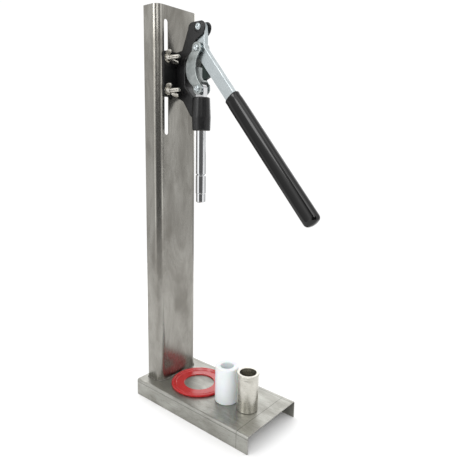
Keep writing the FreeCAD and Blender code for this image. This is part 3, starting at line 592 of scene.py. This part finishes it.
def rounded_copy(node: str, name: str, width_mm: float) -> bpy.types.Object:
    """Copy a CAD node with its crisp edges softened.

    Args:
        node: The CAD node to copy.
        name: The copy's name.
        width_mm: Width of the rounded edge.

    Returns:
        The copy as its own object.
    """
    thing = clean_copy(node, name)
    bm = bmesh.new()
    bm.from_mesh(thing.data)
    flat = math.radians(FLAT_DEGREES)
    bmesh.ops.dissolve_limit(bm, angle_limit=flat, verts=bm.verts, edges=bm.edges)
    bm.to_mesh(thing.data)
    bm.free()
    bevel = thing.modifiers.new("edge", "BEVEL")
    bevel.width = width_mm * MM
    bevel.segments = 3
    bevel.limit_method = "ANGLE"
    bevel.angle_limit = math.radians(EDGE_DEGREES)
    bevel.use_clamp_overlap = True
    baked(thing, 40.0)
    flats = thing.modifiers.new("flats", "WEIGHTED_NORMAL")
    flats.keep_sharp = True
    flats.weight = 90
    return baked(thing, None)


def cast_copy(node: str, name: str, voxel_mm: float, passes: int) -> bpy.types.Object:
    """Copy a CAD node with every edge rounded off, as on a casting.

    Args:
        node: The CAD node to copy.
        name: The copy's name.
        voxel_mm: Size of the remesh.
        passes: How many smoothing passes follow.

    Returns:
        The copy as its own object.
    """
    thing = clean_copy(node, name)
    remesh = thing.modifiers.new("voxels", "REMESH")
    remesh.mode = "VOXEL"
    remesh.voxel_size = voxel_mm * MM
    smooth = thing.modifiers.new("soften", "SMOOTH")
    smooth.factor = 0.5
    smooth.iterations = passes
    return baked(thing, 60.0)


def dress(thing: bpy.types.Object, material: bpy.types.Material) -> None:
    """Give an object one material in place of any it has.

    Args:
        thing: The object to dress.
        material: Its new material.
    """
    slots = thing.material_slots
    if len(slots) == 0:
        thing.data.materials.append(material)
    for slot in thing.material_slots:
        slot.material = material


def place_piece(
    thing: bpy.types.Object,
    body: str,
    material: bpy.types.Material,
    replaced: Iterable[str] = (),
) -> None:
    """Dress a finished piece, hang it on its body and log it.

    Args:
        thing: The finished object.
        body: CAD body that it moves with.
        material: Its finish.
        replaced: CAD nodes that it stands for.
    """
    dress(thing, material)
    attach(thing, body)
    if replaced:
        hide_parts(*replaced)
    LOG.info("%s on %s, %d faces", thing.name, body, len(thing.data.polygons))


def rounded_piece(
    node: str,
    name: str,
    width_mm: float,
    body: str,
    material: bpy.types.Material,
) -> None:
    """Copy a CAD node with softened edges and put the copy in its place.

    Args:
        node: The CAD node to copy.
        name: The copy's name.
        width_mm: Width of the rounded edge.
        body: CAD body that it moves with.
        material: Its finish.
    """
    place_piece(rounded_copy(node, name, width_mm), body, material, [node])


def joint_place(name: str) -> Vector:
    """Find where a joint stands at rest.

    Args:
        name: The joint's name.

    Returns:
        Its place in metres.
    """
    joint = next(item for item in frame["joints"] if item["name"] == name)
    return Vector(joint["pos_m"])


ACROSS = Matrix.Rotation(math.radians(90), 3, "Y")
RIVET_SIDES = 48
RIVET_HEAD_MM = 2.4
PIN_MM = 3.5


# ---------------------------------------------------------------- sub-assemblies


@dataclass
class Stand:
    """Folded base, upright, weld and bottle pad, all on the floor body.

    Attributes:
        bead_mm: Radius of the weld bead.
        ripple_mm: Step between two weld ripples.
        bend_mm: Outer radius of the upright's folds.
    """

    bead_mm: float = 1.8
    ripple_mm: float = 1.3
    bend_mm: float = 12.0

    def build(self) -> None:
        """Make and dress every piece of the stand."""
        rolled, brushed = ROLLED_SHEET.build(), BRUSHED_SHEET.build()
        rounded_piece("base_channel", "base_sheet", 0.3, "stand", rolled)
        rounded_piece("column_channel", "upright_sheet", 0.3, "stand", brushed)
        rounded_piece("bottle_pad", "pad_ring", 0.35, "stand", RED_ABS.build())
        place_piece(self.weld(), "stand", WELD_BEAD.build(), ["column_weld"])

    def weld_path(self) -> list[Vector]:
        """Corners of the weld round the upright's foot.

        Returns:
            Points in metres, from the left rear edge to the right rear edge.
        """
        low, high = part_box("column_channel")
        left, right, front, rear, foot = low.x, high.x, low.y, high.y, low.z
        bend, cuts = self.bend_mm * MM, 6
        points = [Vector((left, rear, foot))]
        for centre, start in ((left + bend, math.pi), (right - bend, 1.5 * math.pi)):
            for step in range(cuts + 1):
                angle = start + step / cuts * math.pi / 2
                across, along = math.cos(angle), math.sin(angle)
                points.append(Vector((centre + bend * across, front + bend + bend * along, foot)))
        points.append(Vector((right, rear, foot)))
        return points

    def weld(self) -> bpy.types.Object:
        """Overlapping ripples strung along the weld's path.

        Returns:
            The bead as one mesh.
        """
        bm = bmesh.new()
        corners = [bm.verts.new(point) for point in self.weld_path()]
        for first, second in zip(corners, corners[1:]):
            bm.edges.new((first, second))
        path = bpy.data.meshes.new("weld_path")
        bm.to_mesh(path)
        bm.free()
        thing = link_object("weld_bead", path)
        run_tree(thing, ripple_tree(), {"Radius": self.bead_mm * MM, "Step": self.ripple_mm * MM})
        return thing


def node_group(name: str, inputs: dict[str, str]) -> bpy.types.NodeTree:
    """Start a geometry node group with a geometry input, named sizes and an output.

    Args:
        name: The group's name.
        inputs: Socket type of each named input.

    Returns:
        The node tree.
    """
    tree = bpy.data.node_groups.new(name, "GeometryNodeTree")
    tree.interface.new_socket("Geometry", in_out="INPUT", socket_type="NodeSocketGeometry")
    for label, kind in inputs.items():
        tree.interface.new_socket(label, in_out="INPUT", socket_type=kind)
    tree.interface.new_socket("Geometry", in_out="OUTPUT", socket_type="NodeSocketGeometry")
    return tree


def closed_tree(
    tree: bpy.types.NodeTree,
    instances: bpy.types.NodeSocket,
) -> bpy.types.NodeTree:
    """End a geometry node tree: real geometry, no material of its own.

    Args:
        tree: The tree to end.
        instances: The socket that its last copies come from.

    Returns:
        The same tree.
    """
    whole = add_node(tree, "GeometryNodeRealizeInstances", {}, {0: instances})
    coated = add_node(tree, "GeometryNodeSetMaterial", {}, {0: whole.outputs[0]})
    add_node(tree, "NodeGroupOutput", {}, {0: coated.outputs[0]})
    return tree


def ripple_tree() -> bpy.types.NodeTree:
    """Tree that strings flattened, slightly uneven ripples along an edge path.

    Returns:
        The node tree.
    """
    tree = node_group("weld_ripples", {"Radius": "NodeSocketFloat", "Step": "NodeSocketFloat"})
    source = add_node(tree, "NodeGroupInput")
    curve = add_node(tree, "GeometryNodeMeshToCurve", {}, {0: source.outputs["Geometry"]})
    even = add_node(tree, "GeometryNodeResampleCurve", {"mode": "LENGTH"},
                    {"Curve": curve.outputs[0], "Length": source.outputs["Step"]})
    ball = add_node(tree, "GeometryNodeMeshIcoSphere", {}, {
        "Radius": source.outputs["Radius"], "Subdivisions": 3})
    tangent = add_node(tree, "GeometryNodeInputTangent")
    aim = add_node(tree, "FunctionNodeAlignRotationToVector", {"axis": "Z"},
                   {"Vector": tangent.outputs[0]})
    wobble = add_node(tree, "FunctionNodeRandomValue", {"data_type": "FLOAT_VECTOR"},
                      {0: (0.86, 0.86, 0.5), 1: (1.1, 1.1, 0.66), "Seed": 5})
    placed = add_node(tree, "GeometryNodeInstanceOnPoints", {}, {
        "Points": even.outputs[0], "Instance": ball.outputs[0], "Rotation": aim.outputs[0],
        "Scale": wobble.outputs[0]})
    return closed_tree(tree, placed.outputs[0])


def copies_tree() -> bpy.types.NodeTree:
    """Tree that puts a copy of one piece at every point.

    Returns:
        The node tree.
    """
    tree = node_group("piece_copies", {"Piece": "NodeSocketObject"})
    source = add_node(tree, "NodeGroupInput")
    info = add_node(tree, "GeometryNodeObjectInfo", {}, {"Object": source.outputs["Piece"]})
    placed = add_node(tree, "GeometryNodeInstanceOnPoints", {}, {
        "Points": source.outputs["Geometry"], "Instance": info.outputs["Geometry"]})
    return closed_tree(tree, placed.outputs[0])


@dataclass
class Head:
    """Cast head with its plate, pivot, bush and clamping hardware.

    Attributes:
        pitch_mm: Thread pitch of the clamping bolts.
        bolt_mm: Radius over the thread.
        root_mm: Radius at the thread's root.
        thread_mm: Length of the cut thread.
        head_mm: Radius of the domed head.
        dome_mm: Height of the domed head.
        lead_mm: Chamfer at the threaded end.
        fade_mm: Length over which the thread runs in and out.
        dome: Outline of the head, as (share of its radius, millimetres above its seat).
    """

    pitch_mm: float = 1.0
    bolt_mm: float = 3.0
    root_mm: float = 2.55
    thread_mm: float = 27.0
    head_mm: float = 6.0
    dome_mm: float = 3.0
    lead_mm: float = 0.5
    fade_mm: float = 1.2
    dome: tuple[tuple[float, float], ...] = (
        (1.0, 0.0), (1.0, 0.7), (0.885, 1.9), (0.63, 2.6), (0.315, 2.95))

    def build(self) -> None:
        """Make and dress every piece of the head."""
        paint, nickel, zinc = CAST_PAINT.build(), NICKEL_PLATE.build(), ZINC_PLATE.build()
        casting = cast_copy("head_frame", "head_casting", 0.8, 4)
        place_piece(casting, "head", paint, ["head_frame"])
        rounded_piece("mount_plate", "clamp_plate", 0.6, "head", paint)
        dress(frame["nodes"]["guide_bush"], SINTERED_BRONZE.build())
        rounded_piece("clamp_washers", "washer_set", 0.2, "head", nickel)
        place_piece(self.bolts(), "head", nickel, ["clamp_bolts"])
        rivet = headed_rivet("lever_pivot_rivet", "frame_pivot_pin")
        place_piece(rivet, "head", zinc, ["frame_pivot_pin"])
        for corner in CORNERS:
            node = f"wing_nut_{corner}"
            nut = cast_copy(node, f"{node}_cast", 0.3, 5)
            place_piece(nut, f"nut_{corner}", nickel, [node])

    def bolt_places(self) -> list[Vector]:
        """Find the front ends of the four bolts.

        Returns:
            Their places in metres.
        """
        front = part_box("clamp_bolts")[0].y
        spots = []
        for corner in CORNERS:
            hinge = joint_place(f"nut_{corner}_spin")
            spots.append(Vector((hinge.x, front, hinge.z)))
        return spots

    def bolts(self) -> bpy.types.Object:
        """Four threaded carriage bolts with domed heads.

        Returns:
            The bolts as one mesh.
        """
        one = link_object("bolt_pattern", mesh_from(self.one_bolt(), "bolt_pattern", 50.0))
        bm = bmesh.new()
        for spot in self.bolt_places():
            bm.verts.new(spot)
        spots = bpy.data.meshes.new("bolt_spots")
        bm.to_mesh(spots)
        bm.free()
        thing = link_object("carriage_bolts", spots)
        run_tree(thing, copies_tree(), {"Piece": one})
        bpy.data.objects.remove(one)
        return thing

    def one_bolt(self) -> bmesh.types.BMesh:
        """One bolt whose threaded end starts at the origin and runs to +Y.

        Returns:
            The bolt as a closed solid.
        """
        low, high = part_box("clamp_bolts")
        seat_mm = (high.y - low.y) / MM - self.dome_mm
        sides, steps = 24, int(self.thread_mm / self.pitch_mm * 6)
        rows = []
        for step in range(steps + 1):
            along = self.lead_mm + step * self.thread_mm / steps
            rows.append(([self.thread_radius(along, side / sides) for side in range(sides)], along))
        shank = [(self.bolt_mm, seat_mm)]
        shank += [(self.head_mm * share, seat_mm + rise) for share, rise in self.dome]
        rows += [([radius] * sides, along) for radius, along in shank]
        bm = bmesh.new()
        rings = []
        for radii, along in rows:
            ring = []
            for side, radius in enumerate(radii):
                angle = 2 * math.pi * side / sides
                spot = Vector((radius * math.cos(angle), along, radius * math.sin(angle)))
                ring.append(bm.verts.new(spot * MM))
            rings.append(ring)
        bridge(bm, rings)
        for ring, along in ((rings[0], 0.0), (rings[-1], seat_mm + self.dome_mm)):
            centre = bm.verts.new(Vector((0, along, 0)) * MM)
            for side in range(sides):
                bm.faces.new((ring[side], ring[(side + 1) % sides], centre))
        return bm

    def thread_radius(self, along: float, share: float) -> float:
        """Radius of the thread at one place on its helix.

        Args:
            along: Distance from the bolt's end in millimetres.
            share: How far round the bolt, from 0 to 1.

        Returns:
            The radius in millimetres, faded in and out and chamfered at the end.
        """
        from_lead = along - self.lead_mm
        phase = (along / self.pitch_mm - share) % 1.0
        crest = 1 - abs(2 * phase - 1)
        to_end = self.thread_mm + self.lead_mm - along
        fade = min(1.0, from_lead / self.fade_mm, to_end / self.fade_mm)
        cut = (self.bolt_mm - self.root_mm) * (1 - crest) * max(fade, 0.0)
        return self.bolt_mm - cut - self.lead_mm * max(0.0, 1 - from_lead)


def headed_rivet(name: str, node: str) -> bpy.types.Object:
    """Tubular rivet across the machine, with a rolled rim and a dimple at each end.

    Args:
        name: The new piece's name.
        node: The CAD pin that it stands for.

    Returns:
        The rivet as one mesh.
    """
    low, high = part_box(node)
    middle = (low + high) / 2
    half = (high.x - low.x) / 2 / MM
    rim = (high.z - low.z) / 2 / MM
    section = rivet_profile(half, rim, half - RIVET_HEAD_MM, PIN_MM)
    bm = lathe(section, middle, ACROSS, RIVET_SIDES)
    return link_object(name, mesh_from(bm, name, 40.0))


def rivet_profile(half: float, rim: float, seat: float, shank: float) -> list[tuple[float, float]]:
    """Section of a rivet from one dimple to the other.

    Args:
        half: Half of the whole length in millimetres.
        rim: Radius of the heads.
        seat: Where a head's inner face stands, from the middle.
        shank: Radius of the shank.

    Returns:
        (radius, height) corners.
    """
    head = [(0.0, half - 1.5), (0.9, half - 1.5), (1.6, half - 1.2), (2.1, half - 0.4),
            (2.7, half - 0.02), (3.3, half), (rim - 1.1, half - 0.25), (rim - 0.35, half - 0.8),
            (rim, half - 1.5), (rim, seat), (shank, seat)]
    return head + [(radius, -height) for radius, height in reversed(head)]


@dataclass
class Lever:
    """Folded lever with its gusset, spacers and dipped grip.

    Attributes:
        arm_degrees: How far the arm points below the horizontal.
        start_mm: Where the grip begins, from the elbow.
        length_mm: Length of the grip.
        deep_mm: Half of the grip's depth in side view.
        wide_mm: Half of its width.
        cap_mm: Length of the round end.
        square: Power of its oval section, where 2 is an ellipse.
        end_wide: Share of the width left at the very end.
        end_deep: Share of the depth left at the very end.
    """

    arm_degrees: float = 49.0
    start_mm: float = 96.0
    length_mm: float = 225.0
    deep_mm: float = 13.0
    wide_mm: float = 8.5
    cap_mm: float = 10.0
    square: float = 2.7
    end_wide: float = 0.25
    end_deep: float = 0.2

    def build(self) -> None:
        """Make and dress every piece of the lever."""
        zinc = ZINC_PLATE.build()
        fork_shade_paint = FORK_SHADE_DARK_STEEL.build()
        rounded_piece("lever_channel", "lever_fold", 0.25, "lever", zinc)
        # The gusset's dark blue-green colour is painted shade for the inside of the fork.
        rounded_piece("lever_stiffener", "fork_gusset", 0.5, "lever", fork_shade_paint)
        rounded_piece("lever_joint_spacers", "elbow_spacers", 0.3, "lever", zinc)
        dress(frame["nodes"]["lever_joint_pin"], zinc)
        place_piece(self.grip(), "lever", DIPPED_VINYL.build(), ["lever_grip"])

    def section(self, along_mm: float, sides: int = 48) -> list[Vector]:
        """One ring of the grip's skin.

        Args:
            along_mm: Distance from the grip's start.
            sides: How many points make the ring.

        Returns:
            Points in millimetres: across the machine, and up from the arm's line.
        """
        neck = 1 - 0.035 * math.exp(-(((along_mm - 6) / 4) ** 2))
        lip = 1 - 0.16 * max(0.0, 1 - along_mm / 1.6) ** 2
        left = max(0.0, (along_mm - (self.length_mm - self.cap_mm)) / self.cap_mm)
        close = math.sqrt(max(0.0, 1 - left ** 2.6))
        share, power = neck * lip, 2 / self.square
        wide = share * (self.end_wide + (1 - self.end_wide) * close)
        deep = share * (self.end_deep + (1 - self.end_deep) * close)
        points = []
        for side in range(sides):
            angle = 2 * math.pi * side / sides
            cosine, sine = math.cos(angle), math.sin(angle)
            across = math.copysign(abs(cosine) ** power, cosine) * self.wide_mm
            up = math.copysign(abs(sine) ** power, sine) * self.deep_mm
            points.append(Vector((across * wide, 0.0, up * deep)))
        return points

    def grip(self) -> bpy.types.Object:
        """Grip skin lofted along the arm, with a rolled lip and a round end.

        Returns:
            The grip as one closed mesh.
        """
        elbow_low, elbow_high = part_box("lever_joint_pin")
        elbow = (elbow_low + elbow_high) / 2
        angle = math.radians(self.arm_degrees)
        arm = Vector((0, -math.cos(angle), -math.sin(angle)))
        up = Vector((0, -math.sin(angle), math.cos(angle)))
        stops = [0, 0.4, 0.9, 1.6, 3, 4.5, 6, 8, 11, 16, 30, 60, 100, 150, 190, 210]
        end = self.length_mm
        stops += [end - self.cap_mm * math.cos(math.pi / 2 * step / 10) for step in range(11)]
        bm = bmesh.new()
        rings = []
        for along in stops:
            centre = elbow + arm * ((self.start_mm + along) * MM)
            spots = [Vector((point.x, 0, 0)) + up * point.z for point in self.section(along)]
            rings.append([bm.verts.new(centre + spot * MM) for spot in spots])
        bridge(bm, rings)
        bm.faces.new(rings[0])
        bm.faces.new(rings[-1])
        thing = link_object("dipped_grip", mesh_from(bm, "dipped_grip", 40.0))
        levels = thing.modifiers.new("smooth", "SUBSURF")
        levels.levels = 1
        levels.render_levels = 1
        return baked(thing, 50.0)


@dataclass
class Link:
    """Bowed link and its rivets.

    Attributes:
        stub_mm: Radius of the stub behind each head at the elbow.
        inner_mm: Where a stub ends, from the machine's middle.
    """

    stub_mm: float = 3.6
    inner_mm: float = 8.3

    def build(self) -> None:
        """Make and dress every piece of the link."""
        zinc = ZINC_PLATE.build()
        bow = cast_copy("link_channel", "bowed_link", 0.4, 2)
        # The link's darker copy of the zinc plate is painted shade.
        place_piece(bow, "link", LINK_SHADED_ZINC.build(), ["link_channel"])
        lower = headed_rivet("tongue_rivet", "link_lower_pin")
        place_piece(lower, "link", zinc, ["link_lower_pin"])
        place_piece(self.elbow_rivets(), "link", zinc, ["link_upper_rivets"])

    def elbow_rivets(self) -> bpy.types.Object:
        """Two headed rivet ends, one in each cheek at the elbow.

        Returns:
            Both ends as one mesh.
        """
        low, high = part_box("link_upper_rivets")
        middle = (low + high) / 2
        half, rim = (high.x - low.x) / 2 / MM, (high.z - low.z) / 2 / MM
        both = bmesh.new()
        for side in (1, -1):
            turn = Matrix.Rotation(math.radians(90 * side), 3, "Y")
            head = rivet_profile(half, rim, half - RIVET_HEAD_MM, self.stub_mm)
            end = head[:len(head) // 2] + [(self.stub_mm, self.inner_mm), (0.0, self.inner_mm)]
            merge(both, lathe(end, middle, turn, RIVET_SIDES))
        return link_object("elbow_rivets", mesh_from(both, "elbow_rivets", 40.0))


@dataclass
class Plunger:
    """Chromed plunger with its nose and spacers."""

    def build(self) -> None:
        """Make and dress every piece of the plunger."""
        chrome, zinc = CHROMED_SHAFT.build(), ZINC_PLATE.build()
        rounded_piece("plunger_rod", "bright_rod", 0.2, "plunger", chrome)
        rounded_piece("plunger_tip", "rod_nose", 0.2, "plunger", chrome)
        rounded_piece("plunger_spacers", "tongue_spacers", 0.3, "plunger", zinc)


@dataclass
class Sleeves:
    """The two loose press sleeves that stand on the base."""

    def build(self) -> None:
        """Make and dress both sleeves."""
        nylon, steel = TURNED_NYLON.build(), TURNED_STEEL.build()
        rounded_piece("nylon_sleeve", "nylon_tube", 0.3, "nylon_sleeve", nylon)
        rounded_piece("steel_sleeve", "tapered_tube", 0.3, "steel_sleeve", steel)


# ------------------------------------------------------------------- the studio


@dataclass
class Studio:
    """Floor, soft lights, sky and camera.

    Attributes:
        eye_mm: Where the camera stands.
        look_degrees: Compass bearing that it looks along, from +Y towards +X.
        down_degrees: How far it looks down.
        roll_degrees: How far it leans.
        lens_mm: Focal length on a 36 mm wide sensor.
        shift: How far the picture is moved off the lens's axis, as shares of its width.
        floor_mm: Radius of the floor, short enough that the metal mirrors the room beyond it.
        walls: Brightness of the room that the metal mirrors, from ahead (0) to behind (1).
        boxes: Name, place, aim and width in millimetres, and watts, of each soft light.
        glare: Brightness of the white that the eye sees all round.
    """

    eye_mm: tuple[float, float, float] = (-537.9, -447.1, 450.0)
    look_degrees: float = 50.21
    down_degrees: float = 11.25
    roll_degrees: float = 1.19
    lens_mm: float = 36.37
    shift: tuple[float, float] = (0.0009, -0.0033)
    floor_mm: float = 950.0
    walls: tuple[tuple[float, float], ...] = (
        (0.0, 2.4), (0.05, 2.0), (0.09, 0.9), (0.18, 0.85), (0.30, 0.7), (0.36, 0.40), (0.47, 1.25),
        (0.56, 0.66), (0.66, 0.9), (0.76, 1.9), (0.82, 1.5), (0.89, 0.16), (1.0, 0.12))

    boxes: tuple[tuple[str, Sequence[float], Sequence[float], float, float], ...] = (
        ("key_box", (-1100, -800, 1200), (0, 0, 380), 700, 5.0),
        ("right_box", (1100, 100, 800), (0, 0, 330), 900, 2.4),
        ("left_box", (-1200, 300, 900), (0, 0, 330), 420, 2.5),
        ("back_box", (300, 1300, 1000), (0, 0, 350), 700, 3.0))
    glare: float = 1.04

    def build(self) -> None:
        """Make the floor, the lights, the sky and the camera."""
        self.floor()
        self.sky()
        for box in self.boxes:
            self.softbox(*box)
        self.camera()

    def floor(self) -> None:
        """Plain pale floor, which is no part of the machine."""
        bm = bmesh.new()
        bmesh.ops.create_circle(bm, cap_ends=True, segments=64, radius=self.floor_mm * MM)
        mesh = bpy.data.meshes.new("floor")
        bm.to_mesh(mesh)
        bm.free()
        floor = link_object("floor", mesh)
        material, tree = new_material("pale_floor")
        shader = add_node(tree, "ShaderNodeBsdfPrincipled", {}, {
            "Base Color": linear("fcfcfc"), "Roughness": 0.9})
        add_node(tree, "ShaderNodeOutputMaterial", {}, {"Surface": shader.outputs[0]})
        mesh.materials.append(material)

    def sky(self) -> None:
        """White to the eye, and a soft grey room with a dark band to the metal."""
        world = bpy.data.worlds.new("studio")
        bpy.context.scene.world = world
        world.use_nodes = True
        tree = world.node_tree
        tree.nodes.clear()
        way = add_node(tree, "ShaderNodeTexCoord").outputs["Generated"]
        bearing = math.radians(self.look_degrees)
        back = (-math.sin(bearing), -math.cos(bearing), 0.0)
        facing = add_node(tree, "ShaderNodeVectorMath", {"operation": "DOT_PRODUCT"},
                          {0: way, 1: back})
        share = ramp(tree, facing.outputs["Value"], ((-1.0, 0.0), (1.0, 1.0)))
        walls = add_node(tree, "ShaderNodeValToRGB", {}, {0: share})
        band = walls.color_ramp
        for spot, level in self.walls:
            stop = band.elements.new(spot) if spot not in (0.0, 1.0) else band.elements[-int(spot)]
            stop.color = (level, level, level, 1.0)
        parts = add_node(tree, "ShaderNodeSeparateXYZ", {}, {0: way})
        height = ramp(tree, parts.outputs["Z"], ((-0.1, 0.95), (0.7, 1.25)))
        # The far wall is darker below the horizon, so that bright metal seen from the right
        # isn't lost in the white.
        low = ramp(tree, parts.outputs["Z"], ((-0.12, 0.6), (0.05, 0.0)))
        ahead = ramp(tree, share, ((0.0, 1.0), (0.25, 0.0)))
        dim = add_node(tree, "ShaderNodeMath", {"operation": "MULTIPLY"}, {0: low, 1: ahead})
        left = add_node(tree, "ShaderNodeMath", {"operation": "SUBTRACT"},
                        {0: 1.0, 1: dim.outputs[0]})
        glow = add_node(tree, "ShaderNodeMath", {"operation": "MULTIPLY"},
                        {0: height, 1: left.outputs[0]})
        room = add_node(tree, "ShaderNodeBackground", {}, {
            "Color": walls.outputs[0], "Strength": glow.outputs[0]})
        white = add_node(tree, "ShaderNodeBackground", {}, {
            "Color": (1, 1, 1, 1), "Strength": self.glare})
        path = add_node(tree, "ShaderNodeLightPath")
        both = add_node(tree, "ShaderNodeMixShader", {},
                        {0: path.outputs["Is Glossy Ray"], 1: white.outputs[0], 2: room.outputs[0]})
        add_node(tree, "ShaderNodeOutputWorld", {}, {"Surface": both.outputs[0]})

    def softbox(
        self,
        name: str,
        place_mm: Sequence[float],
        aim_mm: Sequence[float],
        size_mm: float,
        power: float,
    ) -> None:
        """Hang one soft area light.

        Args:
            name: The light's name.
            place_mm: Where it hangs.
            aim_mm: What it points at.
            size_mm: Its width and height.
            power: Its power in watts.
        """
        data = bpy.data.lights.new(name, "AREA")
        data.size = size_mm * MM
        data.energy = power
        light = bpy.data.objects.new(name, data)
        bpy.context.scene.collection.objects.link(light)
        light.location = Vector(place_mm) * MM
        aim = Vector(aim_mm) * MM - light.location
        light.rotation_euler = aim.to_track_quat("-Z", "Y").to_euler()

    def camera(self) -> None:
        """Stand the camera and make it the scene's own."""
        data = bpy.data.cameras.new("camera")
        data.lens = self.lens_mm
        data.sensor_width = 36.0
        data.shift_x, data.shift_y = self.shift
        data.clip_start = 0.01
        camera = bpy.data.objects.new("camera", data)
        bpy.context.scene.collection.objects.link(camera)
        bearing = Matrix.Rotation(math.radians(-self.look_degrees), 4, "Z")
        tilt = Matrix.Rotation(math.radians(90 - self.down_degrees), 4, "X")
        roll = Matrix.Rotation(math.radians(self.roll_degrees), 4, "Z")
        stand = Matrix.Translation(Vector(self.eye_mm) * MM)
        camera.matrix_world = stand @ bearing @ tilt @ roll
        bpy.context.scene.camera = camera
        bpy.context.scene.view_settings.view_transform = "Standard"


def main() -> None:
    """Build the machine part by part, then the studio."""
    logging.basicConfig(level=logging.INFO, format="%(message)s")
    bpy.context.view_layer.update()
    for assembly in (Stand(), Head(), Lever(), Link(), Plunger(), Sleeves()):
        LOG.info("building %s", type(assembly).__name__)
        assembly.build()
    Studio().build()


if __name__ == "__main__":
    main()
